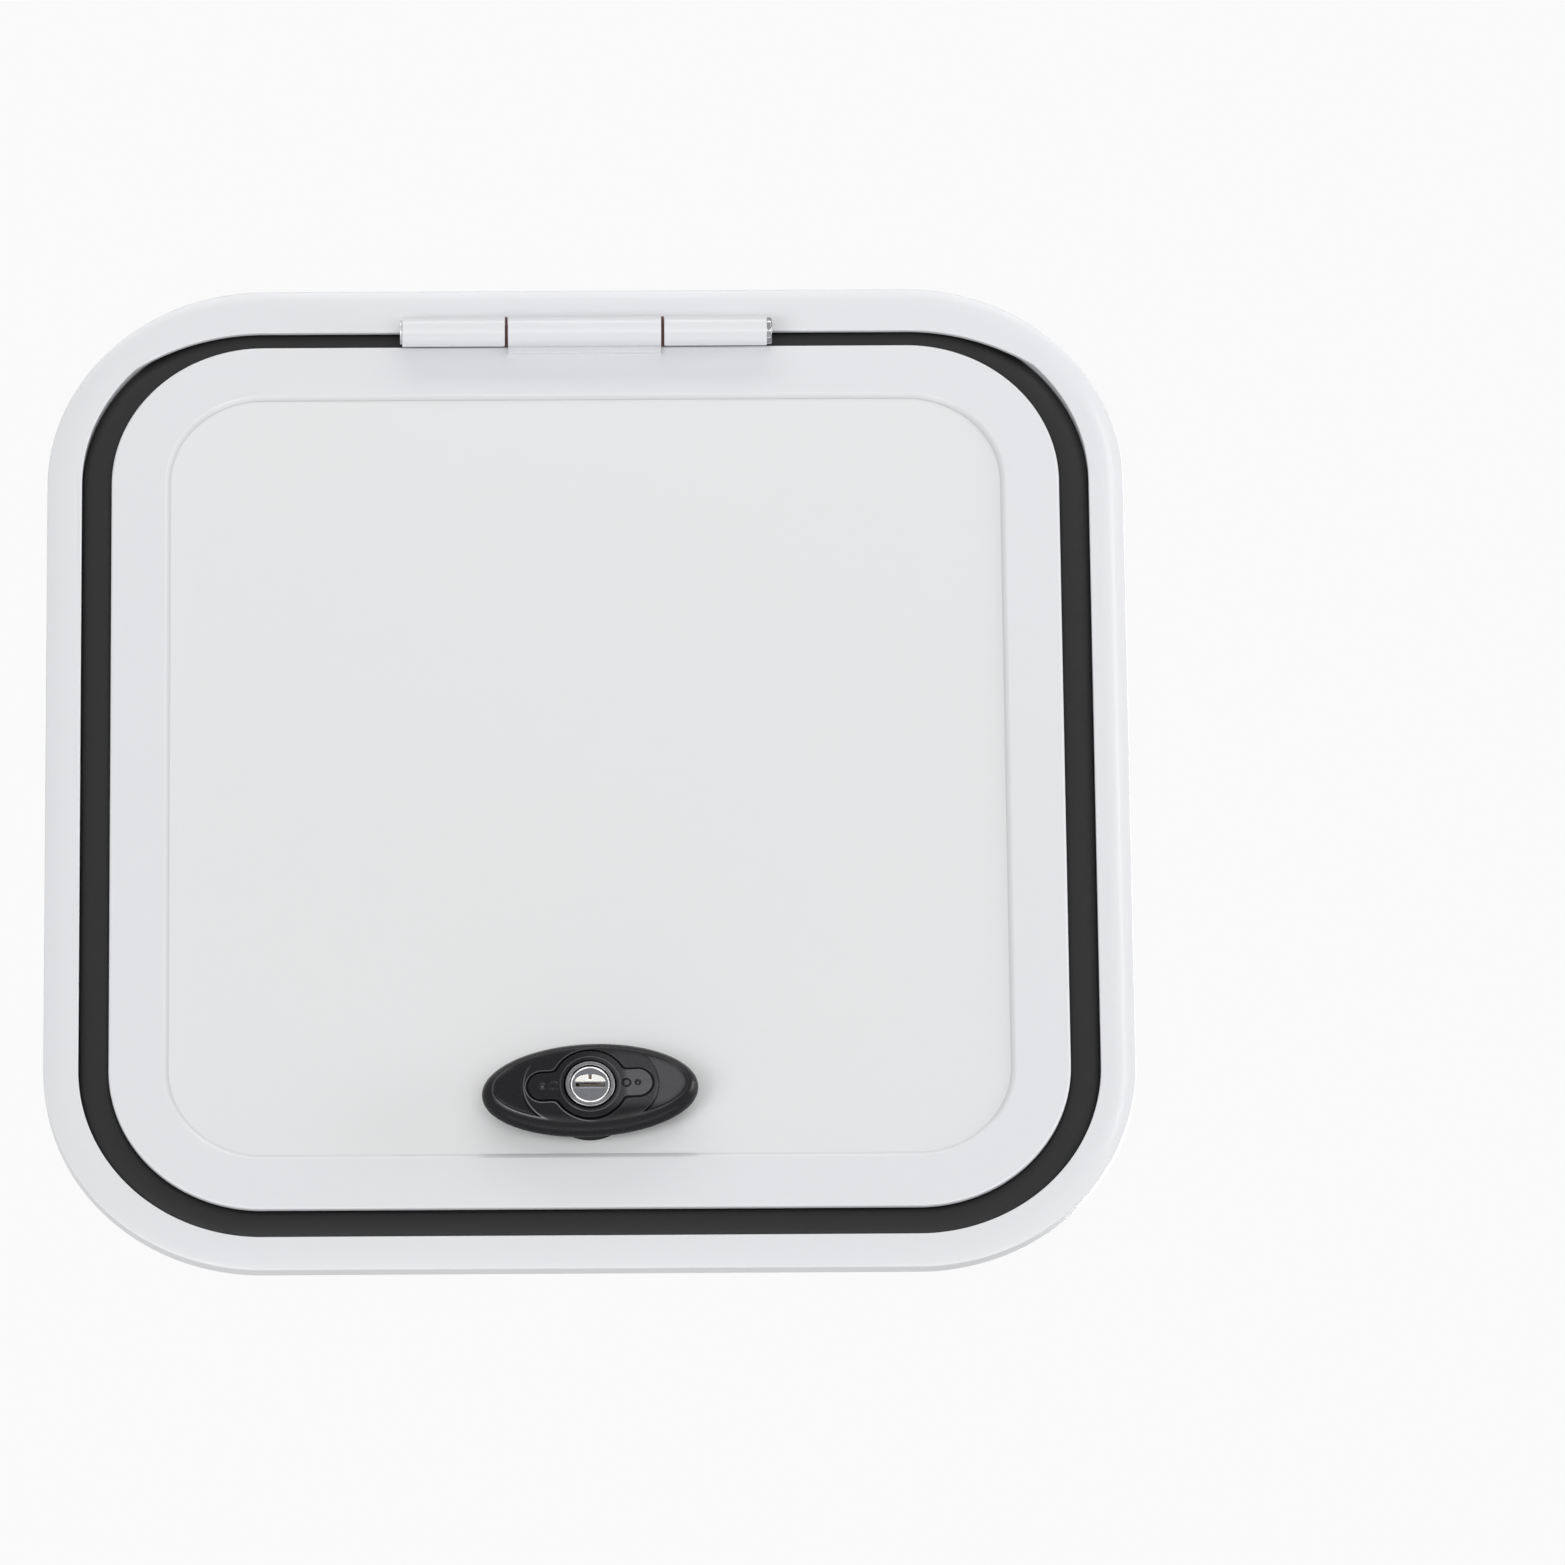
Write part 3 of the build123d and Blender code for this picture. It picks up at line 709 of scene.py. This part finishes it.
def ellipseEdge(s):
    # even steps along the ellipse: fine steps of its angle are resampled by summed length
    a, b = s["length"] / 2, s["height"] / 2
    fine = np.linspace(0, 2 * np.pi, s["fineSteps"])
    steps = np.hypot(a * np.diff(np.cos(fine)), b * np.diff(np.sin(fine)))
    along = np.concatenate([[0], np.cumsum(steps)])
    turn = np.interp(np.linspace(0, along[-1], s["around"], endpoint=False), along, fine)
    edge = np.stack([a * np.cos(turn), b * np.sin(turn)], -1)
    outward = np.stack([np.cos(turn) / a, np.sin(turn) / b], -1)
    return edge, outward / np.linalg.norm(outward, axis=1, keepdims=True)


def ellipseInset(u, w, s):
    # distance inside the ellipse: what its equation lacks to one, over the equation's slope
    a, b = s["length"] / 2, s["height"] / 2
    least = 1e-6
    share = np.maximum(np.hypot(u / a, w / b), least)
    slope = np.hypot(u / a**2, w / b**2) / share
    return np.maximum((1 - share) / slope, 0)


def reliefLines(u, w, s):
    # distances from the badge's outline (a disc blended into a bar) and from the scoops' outline
    # (inside the oval's edge, outside an arc), with how far each scoop has deepened downwards
    inset = ellipseInset(u, w, s)
    disc = np.hypot(u, w) - s["badgeRadius"]
    bar = np.hypot(u - np.clip(u, -s["badgeReach"], s["badgeReach"]), w) - s["badgeHalf"]
    blend = np.clip(0.5 + (bar - disc) / (2 * s["badgeBlend"]), 0, 1)
    badge = bar * (1 - blend) + disc * blend - s["badgeBlend"] * blend * (1 - blend)
    arc = s["scoopRadius"] - np.hypot(np.abs(u) - s["scoopCentre"], w)
    scoop = np.maximum(np.maximum(s["scoopMargin"] - inset, arc), s["scoopCentre"] - np.abs(u))
    deepen = np.clip(0.5 - w / (2 * s["scoopTop"]), 0, 1)
    return inset, badge, scoop, deepen


def reliefMarks(u, w, s):
    # on each side a ring and a round dimple, pressed deeper on the right
    ring = np.abs(np.hypot(np.abs(u) - s["markNear"], w) - s["markRadius"]) - s["markLine"] / 2
    dimple = np.hypot(np.abs(u) - s["markFar"], w) / s["markRadius"]
    press = s["markLeft"] + (1 - s["markLeft"]) * np.clip(u / s["markNear"], 0, 1)
    return press * (softStep(ring, s["markLine"]) + s["dimpleShare"] * np.clip(1 - dimple**2, 0, 1))


def lineTaper(u, s):
    # 1 over the body of the handle, falling to 0 at its two tips
    return np.clip((s["lipEnd"] - np.abs(u)) / s["lipFade"], 0, 1)


def reliefHeight(u, w, s):
    # crown that falls to the edge, most along the lower side, and bow along the length, badge
    # step with a groove at its foot, collar, grooved scoops that deepen downwards, marks
    inset, badge, scoop, deepen = reliefLines(u, w, s)
    fall = s["crownFall"] + s["lowerFall"] * np.clip(-w / s["lowerReach"], 0, 1)
    height = -fall * (1 - np.clip(inset / s["crownReach"], 0, 1)) ** 2
    height = height - s["bowFall"] * (2 * u / s["length"]) ** 2
    height = height + s["badgeRaise"] * softStep(badge, s["edgeWidth"])
    groove = np.abs(badge - s["grooveOffset"]) - s["grooveHalf"]
    height = height - s["grooveDepth"] * softStep(groove, s["edgeWidth"])
    collar = np.hypot(u, w) - s["collarRadius"]
    height = height + s["collarRaise"] * softStep(collar, s["edgeWidth"])
    height = height - s["scoopDepth"] * deepen * softStep(scoop, s["scoopEdge"])
    line = softStep(np.abs(scoop) - s["scoopLine"], s["edgeWidth"]) * np.sqrt(deepen)
    height = height - s["scoopLineDepth"] * line
    return height - s["markDepth"] * reliefMarks(u, w, s)


def reliefHighlight(u, w, s):
    # painted highlights: pale lips along the outer side of the grooves on the left half, most along
    # the lower side and not at the tip, a faint ring round the collar and the floor of the dimples,
    # standing in for light caught on those edges
    _, badge, scoop, deepen = reliefLines(u, w, s)
    half = s["lipWidth"] / 2
    badgeLip = softStep(np.abs(badge - s["badgeLip"]) - half, s["lipWidth"])
    scoopLip = softStep(np.abs(scoop - s["scoopLip"]) - half, s["lipWidth"])
    collarLip = softStep(np.abs(np.hypot(u, w) - s["collarRadius"]) - half, s["lipWidth"])
    dot = softStep(np.hypot(np.abs(u) - s["markFar"], w) - s["dotRadius"], s["dotRadius"])
    left = np.clip(s["lipMiddle"] - u / s["lipFade"], s["lipLeast"], 1)
    low = s["lipLevel"] - s["lipSlant"] * np.clip(w / s["badgeHalf"], -1, 1)
    scoopLip = lineTaper(u, s) * np.sqrt(deepen) * scoopLip
    highlight = left * np.maximum(low * badgeLip, scoopLip)
    return np.maximum(highlight, np.maximum(s["collarHighlight"] * collarLip, s["dotHighlight"] * dot))


def reliefSheen(u, w, s):
    # painted sheen: a grey lightening over the right half of the face that stands in for a reflection,
    # most on the raised badge, less in the scoop and least between them; it fades out at the rolled
    # edge and leaves grooves and marks dark
    inset, badge, scoop, _ = reliefLines(u, w, s)
    side = np.clip(u / s["paintedSheenReach"] + s["paintedSheenMiddle"], 0, 1)
    face = np.clip((inset - s["paintedSheenMargin"]) / s["paintedSheenFade"], 0, 1)
    face = face * np.clip((w + s["paintedSheenFoot"]) / s["paintedSheenFade"], 0, 1)
    zone = np.maximum(s["paintedSheenPlain"], s["paintedSheenScoop"] * softStep(scoop, s["edgeWidth"]))
    clear = np.clip((u - s["collarRadius"]) / s["paintedSheenFade"], 0, 1)
    zone = np.maximum(zone, clear * softStep(badge, s["edgeWidth"]))
    groove = softStep(np.abs(badge - s["grooveOffset"]) - s["grooveHalf"], s["edgeWidth"])
    line = lineTaper(u, s) * softStep(np.abs(scoop) - s["scoopLine"], s["edgeWidth"])
    marks = np.clip(reliefMarks(u, w, s), 0, 1)
    return side * face * zone * (1 - np.maximum(groove, line)) * (1 - marks)


def buildHandle(s):
    # rows: seat of the key ring, face from the seat to the inner oval, front round, rear bevel;
    # the plan is drawn level in (u, w) and then leaned
    top, back = -handleLow.y - s["faceDrop"], -handleHigh.y
    edge, outward = ellipseEdge(s)
    shoulder = edge - s["frontRound"] * outward
    angle = np.arctan2(shoulder[:, 1], shoulder[:, 0])
    seat = s["seatRadius"] * np.stack([np.cos(angle), np.sin(angle)], -1)
    share = np.linspace(0, 1, s["across"])[:, None, None]
    flat = seat * (1 - share) + shoulder * share
    turn = np.linspace(0, np.pi / 2, s["roundSteps"])[1:, None]
    rounded = shoulder + s["frontRound"] * np.sin(turn)[..., None] * outward
    plan = np.concatenate([flat, rounded])
    out = top + reliefHeight(plan[..., 0], plan[..., 1], s)
    out[s["across"]:] -= s["frontRound"] * (1 - np.cos(turn))
    sideLow = back + s["backBevel"]
    t = np.linspace(0, 1, s["blendSteps"])[:, None]
    drawn = t**2 * s["backBlend"]
    lowered = sideLow + (1 - t) ** 2 * s["backBlend"] - t**2 * s["backBlend"]
    foot = s["footBreak"]
    drawn = np.vstack([drawn, [[s["backBevel"] - 2 * foot], [s["backBevel"] + foot]]])
    lowered = np.vstack([lowered, [[back + foot], [back]]])
    under = edge - drawn[..., None] * outward
    underOut = np.broadcast_to(lowered, under.shape[:2])
    sunk = np.stack([seat, np.zeros_like(seat)])[::-1]
    sunkOut = np.broadcast_to(out[0].mean() - s["seatDepth"], sunk.shape[:2])
    plan = np.concatenate([sunk, plan, under, np.zeros_like(seat)[None]])
    out = np.concatenate([sunkOut, out, underOut, np.full((1, len(seat)), back)])
    lean = np.radians(s["lean"])
    x = plan[..., 0] * np.cos(lean) - plan[..., 1] * np.sin(lean)
    z = plan[..., 0] * np.sin(lean) + plan[..., 1] * np.cos(lean) + lockZ
    mesh = gridMesh("handleMoulding", np.stack([x, -out, z], -1), False, True)
    place = meshPoints(mesh)
    across, up = place[:, 0], place[:, 2] - lockZ
    u = across * np.cos(lean) + up * np.sin(lean)
    w = up * np.cos(lean) - across * np.sin(lean)
    front = softStep(top - s["frontRound"] + place[:, 1], s["frontRound"])
    # painted highlights along the grooves, collar and dimples of the handle's front
    tagVertices(mesh, "paintedHighlight", reliefHighlight(u, w, s) * front)
    # painted sheen over the right half of the face
    tagVertices(mesh, "paintedSheen", reliefSheen(u, w, s) * front)
    return addPiece("handleMoulding", mesh, handleMould, "handle", ("lock_handle",))


buildHandle(handleSettings)
print("lock handle moulded")

# rosette between the handle and the panel: a low flared ring with a rounded front edge

rosetteLow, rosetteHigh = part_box("lock_rosette")
rosetteSettings = {
    "flare": 0.7 * mm,
    "bore": 10.4 * mm,
    "frontRound": 0.7 * mm,
    "footRound": 0.15 * mm,
    "roundSteps": 6,
    "turnSteps": 144,
}


def buildRosette(s):
    # half section as (radius, out of the wall), wider at its foot
    front, back = -rosetteLow.y, -rosetteHigh.y
    inner, outer = s["bore"], (rosetteHigh.x - rosetteLow.x) / 2
    corners = np.array([(inner, back), (outer + s["flare"], back), (outer, front), (inner, front)])
    profile = roundCorners(corners, [0, s["footRound"], s["frontRound"], 0], s["roundSteps"])
    mesh = gridMesh("rosetteRing", revolveOut(0, lockZ, profile, s["turnSteps"]), True, True)
    piece = addPiece("rosetteRing", mesh, blackMould, "leaf", ("lock_rosette",))
    return evenNormals(piece)


buildRosette(rosetteSettings)
print("rosette turned")

# key cylinder: chrome ring, plug with a bright rim, keyway and leaning dust shutter

bezelLow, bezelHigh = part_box("lock_bezel")
plugLow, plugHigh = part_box("key_plug")
shutterLow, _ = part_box("key_shutter")
cylinderSettings = {
    "ringOuter": 9.1 * mm,
    "ringInner": 7.5 * mm,
    "ringShoulder": 0.9 * mm,
    "ringLip": 0.3 * mm,
    "ringSteps": 8,
    "rimOuter": 7.25 * mm,
    "rimInner": 6.5 * mm,
    "rimSteps": 20,
    "plugInset": 0.1 * mm,
    "faceDrop": 0.45 * mm,
    "faceSteps": 70,
    "keywayHalf": 5.2 * mm,
    "keywayMiddle": 0.1 * mm,
    "keywayHeight": 1.3 * mm,
    "keywayDepth": 0.7 * mm,
    "pitHalf": 0.5 * mm,
    "pitPlace": -4.6 * mm,
    "pitDepth": 1.5 * mm,
    "keywayEdge": 0.25 * mm,
    "stepDrop": 0.12 * mm,
    "shutterHalf": 5.5 * mm,
    "shutterBase": 1.0 * mm,
    "shutterRise": 3.1 * mm,
    "shutterLean": 0.75 * mm,
    "shutterSink": 0.2 * mm,
    "shutterAcross": 61,
    "shutterUp": 25,
    "notchHalf": 0.6 * mm,
    "notchLow": 0.3,
    "notchDepth": 0.3 * mm,
    "notchEdge": 0.3 * mm,
    "turnSteps": 160,
}


def buildBezel(s):
    # half section as (radius, out of the wall) with a broad rounded shoulder
    front, back = -bezelLow.y, -bezelHigh.y
    outer, inner = s["ringOuter"], s["ringInner"]
    corners = np.array([(inner, back), (outer, back), (outer, front), (inner, front)])
    radii = [0, s["ringLip"], s["ringShoulder"], s["ringLip"]]
    profile = roundCorners(corners, radii, s["ringSteps"])
    mesh = gridMesh("cylinderRing", revolveOut(0, lockZ, profile, s["turnSteps"]), True, True)
    return addPiece("cylinderRing", mesh, ringChrome, "handle", ("lock_bezel",))


def buildRim(s):
    # round bead on the plug's edge
    front = -plugLow.y
    middle, half = (s["rimOuter"] + s["rimInner"]) / 2, (s["rimOuter"] - s["rimInner"]) / 2
    turn = np.linspace(0, 2 * np.pi, s["rimSteps"], endpoint=False)
    profile = np.stack([middle + half * np.cos(turn), front - half + half * np.sin(turn)], -1)
    mesh = gridMesh("plugRim", revolveOut(0, lockZ, profile, s["turnSteps"]), True, True)
    return addPiece("plugRim", mesh, brightChrome, "key")


def keywayInside(x, z, s):
    # a level slot across the plug, as a soft mask
    across = np.abs(x) - s["keywayHalf"]
    along = np.abs(z - s["keywayMiddle"]) - s["keywayHeight"] / 2
    return softStep(np.maximum(across, along), s["keywayEdge"])


def buildPlug(s):
    # disc face with the keyway sunk in it, deepest at its left end, and the lower half a
    # little deeper, then the barrel
    face, back = -plugLow.y - s["faceDrop"], -plugHigh.y
    turn = np.linspace(0, 2 * np.pi, s["turnSteps"], endpoint=False)
    radius = np.linspace(0, s["rimOuter"] - s["plugInset"], s["faceSteps"])[:, None]
    x, z = radius * np.cos(turn), radius * np.sin(turn)
    inside = keywayInside(x, z, s)
    pit = softStep(np.abs(x - s["pitPlace"]) - s["pitHalf"], s["keywayEdge"])
    out = face - (s["keywayDepth"] + s["pitDepth"] * pit) * inside
    out = out - s["stepDrop"] * softStep(z - s["keywayMiddle"] + s["keywayHeight"], s["keywayEdge"])
    x = np.vstack([x, x[-1:], np.zeros_like(x[-1:])])
    z = np.vstack([z, z[-1:], np.zeros_like(z[-1:])])
    out = np.vstack([out, np.full((2, len(turn)), back)])
    mesh = gridMesh("keyPlug", np.stack([x, -out, z + lockZ], -1), False, True)
    # painted shade: the keyway darkens the deeper it is sunk
    place = meshPoints(mesh)
    sunk = np.clip((face + place[:, 1]) / s["keywayDepth"], 0, 1)
    tagVertices(mesh, "hollowShade", sunk * keywayInside(place[:, 0], place[:, 2] - lockZ, s))
    return addPiece("keyPlug", mesh, plugChrome, "key", ("key_plug",))


def shutterNotch(x, lean, s):
    # a short upright slot from part way up to the shutter's top, as a soft mask
    outside = np.maximum(np.abs(x) - s["notchHalf"], (s["notchLow"] - lean) * s["shutterRise"])
    return softStep(outside, s["notchEdge"])


def buildShutter(s):
    # half moon between a chord and an arc, leaning back to its top, with a small centre notch
    front = -shutterLow.y
    foot = -plugLow.y - s["faceDrop"] - s["shutterSink"]
    across = np.linspace(-1, 1, s["shutterAcross"])
    rise = np.linspace(0, 1, s["shutterUp"])[:, None]
    z = s["shutterBase"] + rise * s["shutterRise"] * np.sqrt(1 - across**2)
    x = np.broadcast_to(s["shutterHalf"] * across, z.shape)
    lean = (z - s["shutterBase"]) / s["shutterRise"]
    out = front - s["shutterLean"] * lean - s["notchDepth"] * shutterNotch(x, lean, s)
    top = np.stack([x, -out, z + lockZ], -1)
    low = top.copy()
    low[..., 1] = -foot
    mesh = gridMesh("dustShutter", np.concatenate([low[:1], top, low[-1:]]), True, False)
    # painted shade in the shutter's notch
    place = meshPoints(mesh)
    lean = (place[:, 2] - lockZ - s["shutterBase"]) / s["shutterRise"]
    tagVertices(mesh, "hollowShade", shutterNotch(place[:, 0], lean, s))
    piece = addPiece("dustShutter", mesh, shutterChrome, "key", ("key_shutter",))
    return evenNormals(piece)


buildBezel(cylinderSettings)
buildRim(cylinderSettings)
buildPlug(cylinderSettings)
buildShutter(cylinderSettings)
print("key cylinder turned")

# cam screw at the back: a domed head with a cross recess

screwLow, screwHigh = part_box("cam_screw")
screwSettings = {
    "dome": 0.9 * mm,
    "domePower": 4,
    "crossHalf": 2.9 * mm,
    "crossWidth": 0.75 * mm,
    "crossDepth": 1.4 * mm,
    "crossEdge": 0.3 * mm,
    "faceSteps": 56,
    "turnSteps": 120,
}


def buildScrew(s):
    # dome: the head falls with the fourth power of the radius; two crossed bars are sunk in it
    radius = (screwHigh.x - screwLow.x) / 2
    turn = np.linspace(0, 2 * np.pi, s["turnSteps"], endpoint=False)
    reach = np.linspace(0, radius, s["faceSteps"])[:, None]
    x, z = reach * np.cos(turn), reach * np.sin(turn)
    levelBar = np.maximum(np.abs(x) - s["crossHalf"], np.abs(z) - s["crossWidth"])
    uprightBar = np.maximum(np.abs(z) - s["crossHalf"], np.abs(x) - s["crossWidth"])
    cross = softStep(np.minimum(levelBar, uprightBar), s["crossEdge"])
    y = screwHigh.y - s["dome"] * (reach / radius) ** s["domePower"] - s["crossDepth"] * cross
    x = np.vstack([x, x[-1:], np.zeros_like(x[-1:])])
    y = np.vstack([y, np.full((2, len(turn)), screwLow.y)])
    z = np.vstack([z, z[-1:], np.zeros_like(z[-1:])])
    mesh = gridMesh("camScrew", np.stack([x, y, z + lockZ], -1), False, True)
    return evenNormals(addPiece("camScrew", mesh, zincSteel, "handle", ("cam_screw",)))


buildScrew(screwSettings)
print("cam screw turned")

# remaining solids keep their shape and take the finishes

keptFinish = {
    "outer_panel": skinPaint, "inner_panel": skinPaint, "panel_core": foam,
    "lock_housing": zincSteel, "lock_spindle": zincSteel,
}
for node, material in keptFinish.items():
    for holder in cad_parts[node].material_slots:
        holder.material = material
print("finishes set on", len(keptFinish), "solids")

# stage: pale floor, soft lights, white surroundings

stageSettings = {
    "floorZ": -2.4,
    "floorSize": 30.0,
    "floorGrey": 0.8,
    "floorRoughness": 0.7,
    "floorGlow": 0.6,
    "white": 0.956,
    "ambient": 0.26,
}


def directSight(tree):
    # 1 for what is seen directly, in a reflection or through glass, 0 for light on the object
    ray = tree.nodes.new("ShaderNodeLightPath")
    sight = ray.outputs["Is Camera Ray"]
    for kind in ("Is Glossy Ray", "Is Transmission Ray"):
        either = tree.nodes.new("ShaderNodeMath")
        either.operation = "MAXIMUM"
        tree.links.new(sight, either.inputs[0])
        tree.links.new(ray.outputs[kind], either.inputs[1])
        sight = either.outputs["Value"]
    return sight


def buildFloor(s):
    # pale, with a glow that whitens it to the eye and keeps its shadows; it is clear from
    # below, because the view comes from under its level
    edge = np.linspace(-s["floorSize"], s["floorSize"], 3)
    x, y = np.meshgrid(edge, edge)
    mesh = gridMesh("floor", np.stack([x, y, np.full_like(x, s["floorZ"])], -1))
    if mesh.polygons[0].normal.z < 0:
        mesh.flip_normals()
    material, tree, shader = newMaterial("paleFloor", [s["floorGrey"]] * 3, s["floorRoughness"])
    share = tree.nodes.new("ShaderNodeMath")
    share.operation = "MULTIPLY"
    share.inputs[1].default_value = s["floorGlow"]
    tree.links.new(directSight(tree), share.inputs[0])
    glow = tree.nodes.new("ShaderNodeEmission")
    tree.links.new(share.outputs["Value"], glow.inputs["Strength"])
    total = tree.nodes.new("ShaderNodeAddShader")
    tree.links.new(shader.outputs["BSDF"], total.inputs[0])
    tree.links.new(glow.outputs["Emission"], total.inputs[1])
    facing = tree.nodes.new("ShaderNodeNewGeometry")
    clear = tree.nodes.new("ShaderNodeBsdfTransparent")
    mix = tree.nodes.new("ShaderNodeMixShader")
    tree.links.new(facing.outputs["Backfacing"], mix.inputs["Fac"])
    tree.links.new(total.outputs["Shader"], mix.inputs[1])
    tree.links.new(clear.outputs["BSDF"], mix.inputs[2])
    tree.links.new(mix.outputs["Shader"], tree.nodes["Material Output"].inputs["Surface"])
    mesh.materials.append(material)
    floor = bpy.data.objects.new("floor", mesh)
    bpy.context.scene.collection.objects.link(floor)


buildFloor(stageSettings)


def buildWorld(s):
    # seen directly or in reflections the surroundings are white; as light they are softer
    world = bpy.data.worlds.new("studio")
    bpy.context.scene.world = world
    world.use_nodes = True
    tree = world.node_tree
    tree.nodes.clear()
    white = tree.nodes.new("ShaderNodeBackground")
    white.inputs["Color"].default_value = (s["white"], s["white"], s["white"], 1)
    light = tree.nodes.new("ShaderNodeBackground")
    light.inputs["Color"].default_value = (1, 1, 1, 1)
    light.inputs["Strength"].default_value = s["ambient"]
    mix = tree.nodes.new("ShaderNodeMixShader")
    tree.links.new(directSight(tree), mix.inputs["Fac"])
    tree.links.new(light.outputs["Background"], mix.inputs[1])
    tree.links.new(white.outputs["Background"], mix.inputs[2])
    out = tree.nodes.new("ShaderNodeOutputWorld")
    tree.links.new(mix.outputs["Shader"], out.inputs["Surface"])


buildWorld(stageSettings)


def addLight(name, place, aim, size, power):
    # soft rectangle in metres and watts, turned towards its aim and hidden from the camera
    data = bpy.data.lights.new(name, "AREA")
    data.shape = "RECTANGLE"
    data.size, data.size_y = size
    data.energy = power
    lamp = bpy.data.objects.new(name, data)
    lamp.location = place
    lamp.rotation_euler = (Vector(aim) - Vector(place)).to_track_quat("-Z", "Y").to_euler()
    lamp.visible_camera = False
    bpy.context.scene.collection.objects.link(lamp)


lights = {
    "lowLeft": {"place": (-1.05, -3.2, -1.2), "aim": (0.3, 0, 0.9), "size": (1.9, 1.6), "power": 29.5},
    "lowRight": {"place": (1.05, -3.2, -1.2), "aim": (-0.3, 0, 0.9), "size": (1.9, 1.6), "power": 24.0},
    "leftSoftbox": {"place": (-1.3, -1.65, -0.9), "aim": (0, 0, 0), "size": (1.0, 0.8), "power": 9.5},
    "floorBounce": {"place": (0, -0.03, -0.55), "aim": (0, -0.03, 0), "size": (1.0, 0.06), "power": 0.35},
    "rightSoftbox": {"place": (1.4, -0.25, 0.1), "aim": (0, 0, 0), "size": (0.4, 0.9), "power": 8.0},
    "rightStrip": {"place": (0.78, -1.78, 0.85), "aim": (0, 0, 0), "size": (0.15, 0.9), "power": 2.2},
    "topStrip": {"place": (0, -0.55, 1.0), "aim": (0, 0, 0), "size": (1.6, 0.3), "power": 3.8},
    "backFill": {"place": (0.8, 2.6, 1.0), "aim": (0, 0, 0), "size": (2.0, 1.5), "power": 55.0},
}
for name, light in lights.items():
    addLight(name, **light)

# camera: the photo looks up at the door from below with a long lens

viewSettings = {
    "imageSize": 1565,
    "doorPixel": (587.63, 779.2),
    "pixelsPerMetre": 2715.0,
    "distance": 6.48,
    "below": 25.57,
    "aside": 0.993,
    "roll": -0.729,
    "sensor": 36.0,
    "clipEnd": 100.0,
}


def buildCamera(s):
    # the door's origin lands on its pixel: the camera is shifted sideways, not turned
    below, aside, roll = np.radians([s["below"], s["aside"], s["roll"]])
    ahead = np.array([np.sin(aside) * np.cos(below), np.cos(aside) * np.cos(below), np.sin(below)])
    right = np.array([np.cos(aside), -np.sin(aside), 0])
    up = np.cross(right, ahead)
    right, up = np.cos(roll) * right + np.sin(roll) * up, np.cos(roll) * up - np.sin(roll) * right
    middle = s["imageSize"] / 2
    sideways = (s["doorPixel"][0] - middle) / s["pixelsPerMetre"]
    upwards = (middle - s["doorPixel"][1]) / s["pixelsPerMetre"]
    place = -sideways * right - upwards * up - s["distance"] * ahead
    data = bpy.data.cameras.new("photoView")
    data.sensor_width = s["sensor"]
    data.lens = s["pixelsPerMetre"] * s["distance"] / s["imageSize"] * s["sensor"]
    data.clip_end = s["clipEnd"]
    camera = bpy.data.objects.new("photoView", data)
    turn = np.stack([right, up, -ahead], 1)
    camera.matrix_world = Matrix.Translation(place) @ Matrix(turn.tolist()).to_4x4()
    bpy.context.scene.collection.objects.link(camera)
    bpy.context.scene.camera = camera


buildCamera(viewSettings)
bpy.context.scene.view_settings.view_transform = "Standard"
print("stage, lights and camera set")
